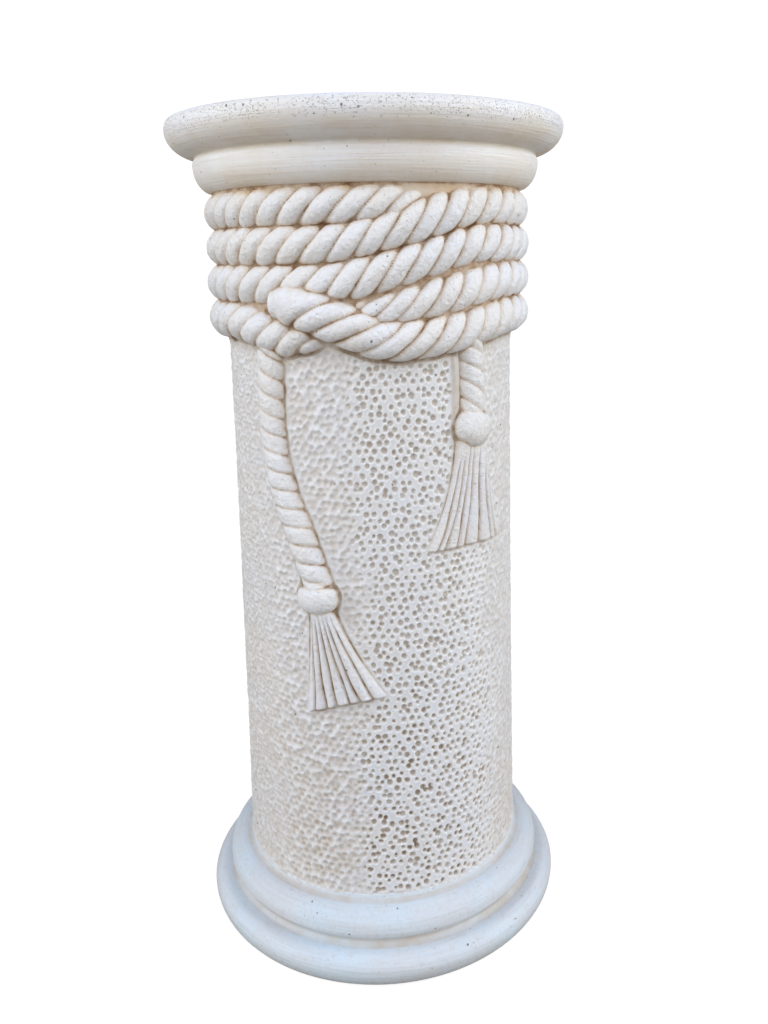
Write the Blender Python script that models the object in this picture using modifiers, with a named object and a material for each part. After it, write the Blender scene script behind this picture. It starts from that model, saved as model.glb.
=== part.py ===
"""A rope twist column: a round pedestal cast in one piece.

A turned body (base, shaft and capital) carries four turns of laid rope under the
capital. The rope is tied in a loop at the front, and its two ends hang down the shaft
and finish in a knob and a fringe. The front faces -Y, +X is to the right of it, and
the origin is the centre of the underside. Lengths are in metres. Angles are in degrees
round the shaft, 0 at the front and positive to the right.
"""

import math
from typing import NamedTuple

import bmesh
import bpy
import numpy as np
from mathutils import Matrix

# Body. Overhangs are measured out from the shaft, and heights up from the floor.
HEIGHT = 0.750
SHAFT_RADIUS = 0.1307
SHAFT_FLARE = 0.0033
BASE_RING_OVERHANG = 0.0423
BASE_RING_HEIGHT = 0.033
BASE_STEP_OVERHANG = 0.0253
BASE_STEP_HEIGHT = 0.031
BASE_GROOVE_DEPTH = 0.0055
CAP_OVERHANG = 0.0473
CAP_SLAB_HEIGHT = 0.0305
CAP_EDGE_WIDTH = 0.004
CAP_ROLL_OVERHANG = 0.0248
CAP_ROLL_HEIGHT = 0.030
CAP_GROOVE_DEPTH = 0.005

# The wound rope. The bed is the mortar that fills the hollows between its turns.
TURNS = 4
ROPE_RADIUS = 0.0166
ROPE_TURN_SPACING = 0.0305
ROPE_BED_DEPTH = 0.0083
ROPE_STRANDS = 3
ROPE_LAY = 0.0615
ROPE_GROOVE_DEPTH = 0.0042
LOOP_LIFT = 0.0075

# The two hanging ends.
TAIL_RADIUS = 0.0138
TAIL_SINK = 0.004
TAIL_STRANDS = 2
TAIL_LAY = 0.033
TAIL_GROOVE_DEPTH = 0.003
KNOB_RADIUS = 0.019
KNOB_HALF_HEIGHT = 0.0165
KNOB_DEPTH = 0.014
FRINGE_RIDGES = 7
FRINGE_RELIEF = 0.0075
FRINGE_GROOVE_DEPTH = 0.003
FRINGE_EMBED = 0.006

# Facets.
BODY_STEPS = 44
SHAFT_STEPS = 3
ARC_STEP = 30.0
RINGS_PER_STRAND = 2
SECTION_ANGLES = (-62.0, -21.0, 21.0, 62.0)
ROUTE_STEP = 0.001

STONE_COLOUR = (0.80, 0.755, 0.67, 1.0)
STONE_ROUGHNESS = 0.55

# Levels and radii that the rest is hung from.
BASE_TOP = BASE_RING_HEIGHT + BASE_STEP_HEIGHT
CAP_UNDERSIDE = HEIGHT - CAP_SLAB_HEIGHT
NECK = CAP_UNDERSIDE - CAP_ROLL_HEIGHT
TOP_TURN = NECK - ROPE_RADIUS
LAST_LEVEL = TURNS - 1
LOW_TURN = TOP_TURN - LAST_LEVEL * ROPE_TURN_SPACING
BED_FOOT = LOW_TURN - ROPE_RADIUS
BED_RADIUS = SHAFT_RADIUS + ROPE_BED_DEPTH
ROPE_CENTRE_RADIUS = BED_RADIUS - ROPE_RADIUS / 2
TAIL_TOP = LOW_TURN - 0.6 * ROPE_RADIUS

# How the rope is wound: (angle, value) pairs that it eases between. A level counts
# turns down from the lowest one, a size is a share of the rope's radius, and a lift is
# a share of LOOP_LIFT. Below about half size the rope is in its bed.
LONG_START = ((-12.0, -0.22), (62.0, -1.0))
LONG_CROSSING = (-14.0, 50.0)
LONG_END = ((-8.0, 0.0), (24.0, -0.14))
LONG_SIZES_IN = ((-14.0, 0.30), (-1.0, 0.70), (14.0, 0.90), (30.0, 1.0))
LONG_SIZES_OUT = ((-4.0, 1.0), (20.0, 0.48))
LOOP_LEVELS = ((-31.0, -0.5), (9.0, 0.505), (66.0, 0.0), (302.0, 0.0), (333.0, 0.38), (347.0, 0.52))
LOOP_SIZES = (
    (-36.5, 0.30), (-33.5, 0.80), (-27.0, 1.03), (0.0, 1.0), (329.0, 1.0), (336.0, 0.78), (347.0, 0.35),
)
LOOP_LIFTS = ((-36.5, 0.6), (-20.0, 1.0), (6.0, 0.0), (347.0, 0.0))


class HangingEnd(NamedTuple):
    """A rope end that hangs down the shaft.

    The route lists (share of the length, angle) pairs. The fringe lists its top left,
    top right, lower left and lower right corners as (share of the fringe's length,
    angle), counted from the knob.
    """

    name: str
    length: float
    route: tuple
    fringe_length: float
    fringe: tuple


HANGING_ENDS = (
    HangingEnd(
        "left",
        0.212,
        ((0.0, -38.8), (0.19, -40.0), (0.39, -39.9), (0.59, -36.6), (0.79, -29.6), (1.0, -22.6)),
        0.110,
        ((0.09, -3.0), (0.09, 5.0), (1.0, -5.6), (0.78, 24.6)),
    ),
    HangingEnd(
        "right",
        0.071,
        ((0.0, 36.0), (0.55, 38.0), (1.0, 38.0)),
        0.104,
        ((0.06, -6.6), (0.14, 9.6), (0.97, -18.8), (1.0, 15.4)),
    ),
)


def clear_scene():
    """Remove whatever the scene starts with."""
    for obj in list(bpy.data.objects):
        bpy.data.objects.remove(obj, do_unlink=True)


def make_stone():
    """The cast and painted stone."""
    material = bpy.data.materials.new("painted_cast_stone")
    material.use_nodes = True
    shader = material.node_tree.nodes["Principled BSDF"]
    shader.inputs["Base Color"].default_value = STONE_COLOUR
    shader.inputs["Roughness"].default_value = STONE_ROUGHNESS
    shader.inputs["Metallic"].default_value = 0.0
    material.diffuse_color = STONE_COLOUR
    return material


def new_object(name, mesh, collection):
    """Link a mesh to the collection as an object."""
    obj = bpy.data.objects.new(name, mesh)
    collection.objects.link(obj)
    return obj


def arc(centre, radii, start, end):
    """Points of an elliptical arc in the (radius, height) plane, from start to end in degrees."""
    steps = max(2, round(abs(end - start) / ARC_STEP))
    turns = np.radians(np.linspace(start, end, steps + 1))
    return [(centre[0] + radii[0] * math.cos(t), centre[1] + radii[1] * math.sin(t)) for t in turns]


def shaft_radius(height):
    """Radius of the shaft at a height. It flares out towards the foot by a square law."""
    share = np.clip((height - BASE_TOP) / (BED_FOOT - BASE_TOP), 0.0, 1.0)
    return SHAFT_RADIUS + SHAFT_FLARE * (1.0 - share) ** 2


def base_profile():
    """The lower ring, the groove over it and the rounded step up to the shaft."""
    foot = SHAFT_RADIUS + SHAFT_FLARE
    ring = SHAFT_RADIUS + BASE_RING_OVERHANG
    ring_belly = 0.59 * BASE_RING_HEIGHT
    ring_top = BASE_RING_HEIGHT - ring_belly
    step = SHAFT_RADIUS + BASE_STEP_OVERHANG
    step_belly = BASE_RING_HEIGHT + 0.44 * BASE_STEP_HEIGHT
    groove = step - BASE_GROOVE_DEPTH
    return [
        *arc((ring - 1.08 * ring_belly, ring_belly), (1.08 * ring_belly, ring_belly), -90, 0),
        *arc((ring - 1.08 * ring_top, ring_belly), (1.08 * ring_top, ring_top), ARC_STEP, 90),
        *arc((groove, step_belly), (BASE_GROOVE_DEPTH, 0.31 * BASE_STEP_HEIGHT), -90, -45),
        *arc((foot, step_belly), (step - foot, BASE_TOP - step_belly), 0, 90),
    ]


def cap_profile():
    """The roll over the rope, the groove and the slab with its softened edge."""
    roll = SHAFT_RADIUS + CAP_ROLL_OVERHANG
    roll_belly = CAP_UNDERSIDE - 0.22 * CAP_ROLL_HEIGHT
    groove = roll - CAP_GROOVE_DEPTH
    slab = SHAFT_RADIUS + CAP_OVERHANG
    slab_belly = CAP_UNDERSIDE + 0.74 * CAP_SLAB_HEIGHT
    return [
        *arc((BED_RADIUS, roll_belly), (roll - BED_RADIUS, roll_belly - NECK), -90, 0),
        *arc((groove, roll_belly), (CAP_GROOVE_DEPTH, CAP_UNDERSIDE - roll_belly), 45, 90),
        *arc((groove, slab_belly), (slab - groove, slab_belly - CAP_UNDERSIDE), ARC_STEP - 90, 0),
        *arc((slab - CAP_EDGE_WIDTH, slab_belly), (CAP_EDGE_WIDTH, HEIGHT - slab_belly), 45, 90),
    ]


def turn_body(collection):
    """Screw the whole profile round the axis: base, shaft, rope bed and capital."""
    bed_foot = BED_FOOT + 0.4 * ROPE_RADIUS
    levels = np.linspace(BASE_TOP, bed_foot, SHAFT_STEPS + 1)[1:]
    profile = [
        (0.0, 0.0),
        *base_profile(),
        *((shaft_radius(level), level) for level in levels),
        (BED_RADIUS, bed_foot + 0.1 * ROPE_RADIUS),
        *cap_profile(),
        (0.0, HEIGHT),
    ]
    profile.reverse()
    mesh = bpy.data.meshes.new("body")
    points = [(radius, 0.0, height) for radius, height in profile]
    mesh.from_pydata(points, [(i, i + 1) for i in range(len(points) - 1)], [])
    body = new_object("body", mesh, collection)
    screw = body.modifiers.new("turn", "SCREW")
    screw.steps = BODY_STEPS
    screw.render_steps = BODY_STEPS
    screw.use_merge_vertices = True
    screw.merge_threshold = 0.00001
    return body


def eased(pairs, where):
    """Value at each place in an array, easing from each (place, value) pair to the next."""
    places, values = np.array(pairs, float).T
    left = np.clip(np.searchsorted(places, where, side="right") - 1, 0, len(places) - 2)
    share = np.clip((where - places[left]) / (places[left + 1] - places[left]), 0.0, 1.0)
    share = share * share * (3.0 - 2.0 * share)
    return values[left] + (values[left + 1] - values[left]) * share


def curve_through(pairs, where):
    """Value at each place in an array, on a smooth cubic through the (place, value) pairs."""
    places, values = np.array(pairs, float).T
    slopes = np.gradient(values, places)
    left = np.clip(np.searchsorted(places, where, side="right") - 1, 0, len(places) - 2)
    width = places[left + 1] - places[left]
    share = np.clip((where - places[left]) / width, 0.0, 1.0)
    back = 1.0 - share
    return (
        (1.0 + 2.0 * share) * back**2 * values[left]
        + share * back**2 * width * slopes[left]
        + (1.0 + 2.0 * back) * share**2 * values[left + 1]
        - share**2 * back * width * slopes[left + 1]
    )


def on_column(angle, radius, height):
    """Points at angles in degrees, radii and heights, as an array with x, y and z last."""
    turn = np.radians(angle)
    return np.stack(np.broadcast_arrays(radius * np.sin(turn), -radius * np.cos(turn), height), axis=-1)


def long_levels():
    """Levels of the long rope: one turn on each level but the lowest, from the loop upwards."""
    levels = list(LONG_START)
    for turn in range(1, LAST_LEVEL):
        levels.append((360.0 * turn + LONG_CROSSING[0], -turn))
        levels.append((360.0 * turn + LONG_CROSSING[1], -turn - 1.0))
    levels.extend((360.0 * LAST_LEVEL + angle, rise - LAST_LEVEL) for angle, rise in LONG_END)
    return tuple(levels)


def wound_route(levels, sizes, lifts):
    """Centre line points and radii of a rope wound round the shaft."""
    step = math.degrees(ROUTE_STEP / ROPE_CENTRE_RADIUS)
    angles = np.arange(sizes[0][0], sizes[-1][0] + step, step)
    heights = LOW_TURN - ROPE_TURN_SPACING * eased(levels, angles)
    radii = ROPE_CENTRE_RADIUS + LOOP_LIFT * eased(lifts, angles)
    return on_column(angles, radii, heights), ROPE_RADIUS * eased(sizes, angles)


def hanging_route(end):
    """Centre line points and radii of a rope end that hangs down the shaft."""
    shares = np.arange(0.0, 1.0, ROUTE_STEP / end.length)
    heights = TAIL_TOP - shares * end.length
    centres = on_column(curve_through(end.route, shares), shaft_radius(heights) - TAIL_SINK, heights)
    return centres, np.full(len(shares), TAIL_RADIUS)


def loft(name, rings, collection):
    """A closed solid through rings of points, given as an array of ring, corner and x, y, z."""
    count, corners = rings.shape[:2]
    faces = [
        (ring * corners + i, ring * corners + j, (ring + 1) * corners + j, (ring + 1) * corners + i)
        for ring in range(count - 1)
        for i, j in ((k, (k + 1) % corners) for k in range(corners))
    ]
    faces.append(tuple(reversed(range(corners))))
    faces.append(tuple(range((count - 1) * corners, count * corners)))
    mesh = bpy.data.meshes.new(name)
    mesh.from_pydata(rings.reshape(-1, 3), [], faces)
    work = bmesh.new()
    work.from_mesh(mesh)
    if work.calc_volume(signed=True) < 0.0:
        bmesh.ops.reverse_faces(work, faces=work.faces)
    work.to_mesh(mesh)
    work.free()
    return new_object(name, mesh, collection)


def laid_rope(name, route, lay, strands, groove_depth, collection):
    """A laid rope along a route, lofted through rings that follow the grooves of its lay.

    Rings alternate between the groove and the crest of a strand. Each one slants along
    the rope by lay / 360 for each degree round its outer side, less so at the ends, and
    is closed by two corners that are sunk in the column.
    """
    centres, radii = route
    run = np.append(0.0, np.cumsum(np.linalg.norm(np.diff(centres, axis=0), axis=1)))
    spacing = lay / strands / RINGS_PER_STRAND
    count = int(run[-1] / spacing) + 1
    section = np.array([*SECTION_ANGLES, SECTION_ANGLES[-1], SECTION_ANGLES[0]])
    sunk = np.arange(len(section)) >= len(SECTION_ANGLES)
    middle = np.arange(count)[:, None] * spacing
    slant = section * lay / 360.0 * np.clip(np.minimum(middle, run[-1] - middle) / (2.0 * spacing), 0.0, 1.0)
    place = middle + slant

    def at(where):
        return np.stack([np.interp(where, run, axis) for axis in centres.T], axis=-1)

    centre = at(place)
    radius = np.interp(place, run, radii)
    outward = centre * (1.0, 1.0, 0.0)
    outward /= np.linalg.norm(outward, axis=-1, keepdims=True)
    along = at(place + ROUTE_STEP) - at(place - ROUTE_STEP)
    sideways = np.cross(outward, along)
    sideways /= np.linalg.norm(sideways, axis=-1, keepdims=True)
    turn = np.radians(section)
    groove = np.where(np.arange(count) % RINGS_PER_STRAND == 0, groove_depth, 0.0)[:, None] * np.cos(turn)
    reach = np.maximum(radius - groove, 0.3 * radius)
    across = np.where(sunk, np.sign(turn) * 0.86 * radius, reach * np.sin(turn))
    out = np.where(sunk, -0.75 * radius, reach * np.cos(turn))
    rings = centre + sideways * across[..., None] + outward * out[..., None]
    return loft(name, rings, collection)


def knob(name, height, angle, collection):
    """The round head of a tassel, flattened against the shaft."""
    mesh = bpy.data.meshes.new(name)
    work = bmesh.new()
    bmesh.ops.create_uvsphere(work, u_segments=12, v_segments=8, radius=1.0)
    stretch = Matrix.Diagonal((KNOB_RADIUS, KNOB_DEPTH, KNOB_HALF_HEIGHT, 1.0))
    work.transform(Matrix.Rotation(math.radians(angle), 4, "Z") @ stretch)
    work.to_mesh(mesh)
    work.free()
    ball = new_object(name, mesh, collection)
    ball.location = on_column(angle, shaft_radius(height), height)
    return ball


def fringe(name, corners, collection):
    """The fringe of a tassel: a fan of ridges, lofted from its narrow top to its wide foot."""
    top_left, top_right, low_left, low_right = (np.array(corner) for corner in corners)
    down = np.linspace(0.0, 1.0, 5)[:, None, None]
    across = np.linspace(0.0, 1.0, 2 * FRINGE_RIDGES + 1)[None, :, None]
    top = top_left + (top_right - top_left) * across
    low = low_left + (low_right - low_left) * across
    height = (top + (low - top) * down)[..., 0]
    angle = (top + (low - top) * down**1.35)[..., 1]
    down, across = down[..., 0], across[..., 0]
    crest = FRINGE_RELIEF * (1.0 - 0.3 * down) * (1.0 - np.abs(2.0 * across - 1.0) ** 6)
    groove = FRINGE_GROOVE_DEPTH * (1 - np.arange(across.size) % 2)
    relief = np.maximum(crest - groove, 0.05 * FRINGE_RELIEF)
    front = on_column(angle, shaft_radius(height) + relief, height)
    back = on_column(angle, shaft_radius(height) - FRINGE_EMBED, height)
    return loft(name, np.concatenate([front, back[:, ::-1]], axis=1), collection)


def hanging_end(end, collection):
    """The rope, knob and fringe of one hanging end."""
    height = TAIL_TOP - end.length - 0.8 * KNOB_HALF_HEIGHT
    angle = end.route[-1][1]
    corners = [(height - down * end.fringe_length, angle + across) for down, across in end.fringe]
    tail = hanging_route(end)
    return [
        laid_rope(f"{end.name}_tail", tail, TAIL_LAY, TAIL_STRANDS, TAIL_GROOVE_DEPTH, collection),
        knob(f"{end.name}_knob", height, angle, collection),
        fringe(f"{end.name}_fringe", corners, collection),
    ]


def join_all(body, pieces):
    """Union every carved piece into the body and keep one mesh."""
    for piece in pieces:
        union = body.modifiers.new(piece.name, "BOOLEAN")
        union.operation = "UNION"
        union.solver = "EXACT"
        union.use_self = True
        union.object = piece
    graph = bpy.context.evaluated_depsgraph_get()
    mesh = bpy.data.meshes.new_from_object(body.evaluated_get(graph))
    body.modifiers.clear()
    body.data = mesh
    for piece in pieces:
        bpy.data.objects.remove(piece, do_unlink=True)
    return body


def main():
    """Build the column as one named object."""
    clear_scene()
    collection = bpy.data.collections.new("rope_twist_column")
    bpy.context.scene.collection.children.link(collection)
    body = turn_body(collection)
    long_sizes = (
        *LONG_SIZES_IN,
        *((360.0 * LAST_LEVEL + angle, size) for angle, size in LONG_SIZES_OUT),
    )
    long_lifts = ((long_sizes[0][0], 0.0), (long_sizes[-1][0], 0.0))
    rope = (ROPE_LAY, ROPE_STRANDS, ROPE_GROOVE_DEPTH, collection)
    pieces = [
        laid_rope("long_rope", wound_route(long_levels(), long_sizes, long_lifts), *rope),
        laid_rope("loop_rope", wound_route(LOOP_LEVELS, LOOP_SIZES, LOOP_LIFTS), *rope),
    ]
    for end in HANGING_ENDS:
        pieces.extend(hanging_end(end, collection))
    column = join_all(body, pieces)
    column.name = "rope_twist_column"
    column.data.name = "rope_twist_column"
    column.data.materials.clear()
    column.data.materials.append(make_stone())


main()
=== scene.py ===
"""A rope twist column in painted cast stone, dressed for its photograph.

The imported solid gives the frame. Every visible surface is worked out here with numpy:
the mouldings and the shaft are profiles turned round the axis, the rope and its hanging
ends are laid strands carried along a path, and the pits of the shaft are a height over
the turned surface. The front faces -Y. Lengths are in metres, and angles are in degrees
round the shaft, 0 at the front and positive to the right.
"""

import logging
import math
from dataclasses import dataclass, field
from enum import Enum

import bpy
import numpy as np
from mathutils import Matrix, Vector


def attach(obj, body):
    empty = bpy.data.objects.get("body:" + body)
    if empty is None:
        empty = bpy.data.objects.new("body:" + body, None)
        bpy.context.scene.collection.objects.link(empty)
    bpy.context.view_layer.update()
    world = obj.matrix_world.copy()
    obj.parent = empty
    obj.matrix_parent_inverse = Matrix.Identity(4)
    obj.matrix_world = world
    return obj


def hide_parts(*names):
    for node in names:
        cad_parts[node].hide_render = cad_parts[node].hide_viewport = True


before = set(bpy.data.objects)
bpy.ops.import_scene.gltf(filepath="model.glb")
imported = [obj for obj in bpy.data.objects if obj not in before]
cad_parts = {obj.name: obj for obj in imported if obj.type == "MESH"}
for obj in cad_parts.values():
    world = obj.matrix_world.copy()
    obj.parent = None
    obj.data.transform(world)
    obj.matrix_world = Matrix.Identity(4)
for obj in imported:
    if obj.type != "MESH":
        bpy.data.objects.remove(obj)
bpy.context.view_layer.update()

NODE = "rope_twist_column"
LOG = logging.getLogger("column")

# The column's sizes, as in the part's source
HEIGHT = 0.750
SHAFT_RADIUS = 0.1307
SHAFT_FLARE = 0.0033
BASE_TOP = 0.064
CAP_UNDERSIDE = 0.7195
NECK = 0.6895
ROPE_RADIUS = 0.0166
ROPE_TURN_SPACING = 0.0305
BED_RADIUS = 0.1390
LAST_LEVEL = 3
LOW_TURN = NECK - ROPE_RADIUS - LAST_LEVEL * ROPE_TURN_SPACING
BED_FOOT = LOW_TURN - ROPE_RADIUS
ROPE_CENTRE_RADIUS = BED_RADIUS - ROPE_RADIUS / 2
TAIL_TOP = LOW_TURN - 0.6 * ROPE_RADIUS
CAP_ROLL = 0.1555
BED_BOTTOM = BED_FOOT + 0.4 * ROPE_RADIUS

# Length round the column, for patterns, and the rows after which noise and pits repeat
GIRTH = 2 * math.pi * 0.132
NOISE_ROWS = 512
PIT_ROWS = 256

# Degrees in a step of a moulding's arcs
ARC_STEP = 4.0

Array = np.ndarray
Pairs = tuple[tuple[float, float], ...]


# Shapes as functions on arrays


def step_shares(places: Array, where: Array) -> tuple[Array, Array]:
    """Find the step that each place asked for lies in, and the share of it that is behind."""
    left = np.clip(np.searchsorted(places, where, side="right") - 1, 0, len(places) - 2)
    return left, np.clip((where - places[left]) / (places[left + 1] - places[left]), 0.0, 1.0)


def eased(pairs: Pairs, where: Array) -> Array:
    """Ease between (place, value) pairs by 3s^2 - 2s^3 of the share s of each step.

    Args:
        pairs: Places in rising order, with the value at each.
        where: The places asked for.

    Returns:
        The value at each place asked for.
    """
    places, values = np.array(pairs, float).T
    left, share = step_shares(places, where)
    return values[left] + (values[left + 1] - values[left]) * share * share * (3.0 - 2.0 * share)


def curve_through(pairs: Pairs, where: Array) -> Array:
    """Smooth cubic through (place, value) pairs, with slopes from the neighbours.

    Args:
        pairs: Places in rising order, with the value at each.
        where: The places asked for.

    Returns:
        The value at each place asked for.
    """
    places, values = np.array(pairs, float).T
    slopes = np.gradient(values, places)
    left, share = step_shares(places, where)
    width = places[left + 1] - places[left]
    back = 1.0 - share
    return (
        (1.0 + 2.0 * share) * back**2 * values[left]
        + share * back**2 * width * slopes[left]
        + (1.0 + 2.0 * back) * share**2 * values[left + 1]
        - share**2 * back * width * slopes[left + 1]
    )


def ramp(value: Array, start: float, end: float) -> Array:
    """Go from 0 at start to 1 at end by 3s^2 - 2s^3. End may lie below start."""
    share = np.clip((value - start) / (end - start), 0.0, 1.0)
    return share * share * (3.0 - 2.0 * share)


def run_along(path: Array) -> Array:
    """Length along a path at each of its points."""
    return np.append(0.0, np.cumsum(np.linalg.norm(np.diff(path, axis=0), axis=1)))


def points_at(path: Array, run: Array, where: Array) -> Array:
    """Points at lengths along a path.

    Args:
        path: One row for each point.
        run: Length along the path at each point.
        where: The lengths asked for.

    Returns:
        The points, with their coordinates last.
    """
    return np.stack([np.interp(where, run, axis) for axis in path.T], axis=-1)


def unrolled(angle: Array) -> Array:
    """Arc length from the back round to an angle, on the unrolled column."""
    return np.radians(angle + 180.0) * GIRTH / (2 * math.pi)


def on_column(angle: Array, radius: Array, height: Array) -> Array:
    """Points at angles in degrees, radii and heights.

    Args:
        angle: Degrees round the shaft, 0 at -Y and positive to the right.
        radius: Distance from the axis.
        height: Height over the floor.

    Returns:
        An array with x, y and z last.
    """
    turn = np.radians(angle)
    return np.stack(np.broadcast_arrays(radius * np.sin(turn), -radius * np.cos(turn), height), axis=-1)


def arc(centre: tuple[float, float], radii: tuple[float, float], start: float, end: float) -> Array:
    """Points of an elliptical arc in the (radius, height) plane.

    Args:
        centre: Radius and height of the centre.
        radii: The two half axes.
        start: First angle in degrees.
        end: Last angle in degrees.

    Returns:
        A (radius, height) row for each step of the arc.
    """
    steps = max(3, round(abs(end - start) / ARC_STEP))
    turns = np.radians(np.linspace(start, end, steps + 1))
    return np.stack([centre[0] + radii[0] * np.cos(turns), centre[1] + radii[1] * np.sin(turns)], axis=-1)


def resampled(profile: Array, spacing: float) -> Array:
    """Even steps along a profile.

    Args:
        profile: One row for each point. Points may lie on each other.
        spacing: Most that a step may be long.

    Returns:
        The points at the ends of the steps.
    """
    run = run_along(profile)
    keep = np.append(True, np.diff(run) > 1e-9)
    run, profile = run[keep], profile[keep]
    return points_at(profile, run, np.linspace(0.0, run[-1], math.ceil(run[-1] / spacing) + 1))


def shaft_radius(height: Array) -> Array:
    """Radius of the shaft, flaring towards the foot by the square of the way down."""
    share = np.clip((height - BASE_TOP) / (BED_FOOT - BASE_TOP), 0.0, 1.0)
    return SHAFT_RADIUS + SHAFT_FLARE * (1.0 - share) ** 2


def mixed(
    grid: Array, rows: tuple[Array, Array], columns: tuple[Array, Array], shares: tuple[Array, Array]
) -> Array:
    """Mix the four corners of grid cells.

    Args:
        grid: Values over rows and columns.
        rows: Lower and upper row of each cell.
        columns: Left and right column of each cell.
        shares: How far up and how far over each point lies, from 0 to 1.

    Returns:
        The mixed value at each point.
    """
    (low, high), (here, there), (up, over) = rows, columns, shares
    bottom = grid[low, here] * (1 - over) + grid[low, there] * over
    top = grid[high, here] * (1 - over) + grid[high, there] * over
    return bottom * (1 - up) + top * up


def value_noise(across: Array, up: Array, cell: float, seed: int) -> Array:
    """Smooth noise from -1 to 1: random values on a lattice, eased between its corners.

    Args:
        across: Arc length round the column, which wraps at GIRTH.
        up: Length along it.
        cell: Size of a lattice cell.
        seed: Seed of the random values.

    Returns:
        The noise at each point.
    """
    count = max(3, round(GIRTH / cell))
    lattice = np.random.default_rng(seed).uniform(-1.0, 1.0, (NOISE_ROWS, count))
    u, v = across / GIRTH * count, up / cell
    column, row = np.floor(u).astype(int), np.floor(v).astype(int)
    rows = (row % NOISE_ROWS, (row + 1) % NOISE_ROWS)
    columns = (column % count, (column + 1) % count)
    return mixed(lattice, rows, columns, (ramp(v - row, 0.0, 1.0), ramp(u - column, 0.0, 1.0)))


def layered_noise(across: Array, up: Array, cell: float, seed: int, layers: int = 3) -> Array:
    """Sum of noise layers, each with half the cell and 0.55 of the height of the last.

    Args:
        across: Arc length round the column, which wraps at GIRTH.
        up: Length along it.
        cell: Size of a lattice cell of the first layer.
        seed: Seed of the random values.
        layers: Number of layers.

    Returns:
        The noise at each point, from -1 to 1.
    """
    weights = [0.55**layer for layer in range(layers)]
    total = np.zeros(np.broadcast(across, up).shape)
    for layer, weight in enumerate(weights):
        total += weight * value_noise(across, up, cell / 2**layer, seed + 31 * layer)
    return total / sum(weights)


# Meshes


def add_object(name: str, data: bpy.types.ID) -> bpy.types.Object:
    """Put a mesh, lamp or camera into the scene as a new object at the origin.

    Args:
        name: The object's name.
        data: The mesh, lamp or camera.

    Returns:
        The new object.
    """
    thing = bpy.data.objects.new(name, data)
    bpy.context.scene.collection.objects.link(thing)
    return thing


def make_mesh(
    name: str, points: Array, masks: dict[str, Array], normals: Array | None = None
) -> bpy.types.Object:
    """Make a closed shell of rings: quads between rings, and one flat face on each end.

    Args:
        name: The piece's name.
        points: Rings, corners and x, y, z. The corners of a ring go all the way round.
        masks: Values from 0 to 1 over rings and corners, stored as point attributes.
        normals: Shading normals over rings and corners, where the mesh has to meet
            another one without a line.

    Returns:
        The new object, at the origin.
    """
    rings, corners = points.shape[:2]
    index = np.arange(rings * corners).reshape(rings, corners)
    after = np.roll(index, -1, axis=1)
    quads = np.stack([index[:-1], after[:-1], after[1:], index[1:]], axis=-1).reshape(-1, 4)
    loops = np.concatenate([quads.ravel(), index[0, ::-1], index[-1]])
    sizes = np.concatenate([np.full(len(quads), 4), [corners, corners]])
    starts = np.concatenate([[0], np.cumsum(sizes)[:-1]])
    mesh = bpy.data.meshes.new(name)
    mesh.vertices.add(rings * corners)
    mesh.vertices.foreach_set("co", points.astype(np.float32).ravel())
    mesh.loops.add(len(loops))
    mesh.loops.foreach_set("vertex_index", loops.astype(np.int32))
    mesh.polygons.add(len(sizes))
    mesh.polygons.foreach_set("loop_start", starts.astype(np.int32))
    mesh.update(calc_edges=True)
    smooth = np.ones(len(sizes), bool)
    smooth[-2:] = False
    mesh.polygons.foreach_set("use_smooth", smooth)
    for mask, values in masks.items():
        layer = mesh.attributes.new(mask, "FLOAT", "POINT")
        values = np.broadcast_to(values, (rings, corners)).astype(np.float32)
        layer.data.foreach_set("value", values.ravel())
    if normals is not None:
        mesh.normals_split_custom_set_from_vertices(normals.reshape(-1, 3).tolist())
    mesh.validate()
    return add_object(name, mesh)


def grid_normals(points: Array) -> Array:
    """Unit normals of a turned surface: the step round crossed with the step up.

    Args:
        points: Rows from below upwards, and columns that go all the way round.

    Returns:
        One normal for each point.
    """
    around = np.roll(points, -1, axis=1) - np.roll(points, 1, axis=1)
    upward = np.gradient(points, axis=0)
    normals = np.cross(around, upward)
    return normals / np.linalg.norm(normals, axis=-1, keepdims=True)


def settle(piece: bpy.types.Object, finish: bpy.types.Material) -> bpy.types.Object:
    """Give a piece its finish, and let it ride in place of the solid.

    Args:
        piece: A finished mesh object at the origin.
        finish: Its material.

    Returns:
        The same piece.
    """
    piece.data.materials.clear()
    piece.data.materials.append(finish)
    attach(piece, "root")
    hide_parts(NODE)
    LOG.info("%s: %d faces", piece.name, len(piece.data.polygons))
    return piece


# The relief that the wash gathers in


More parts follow.
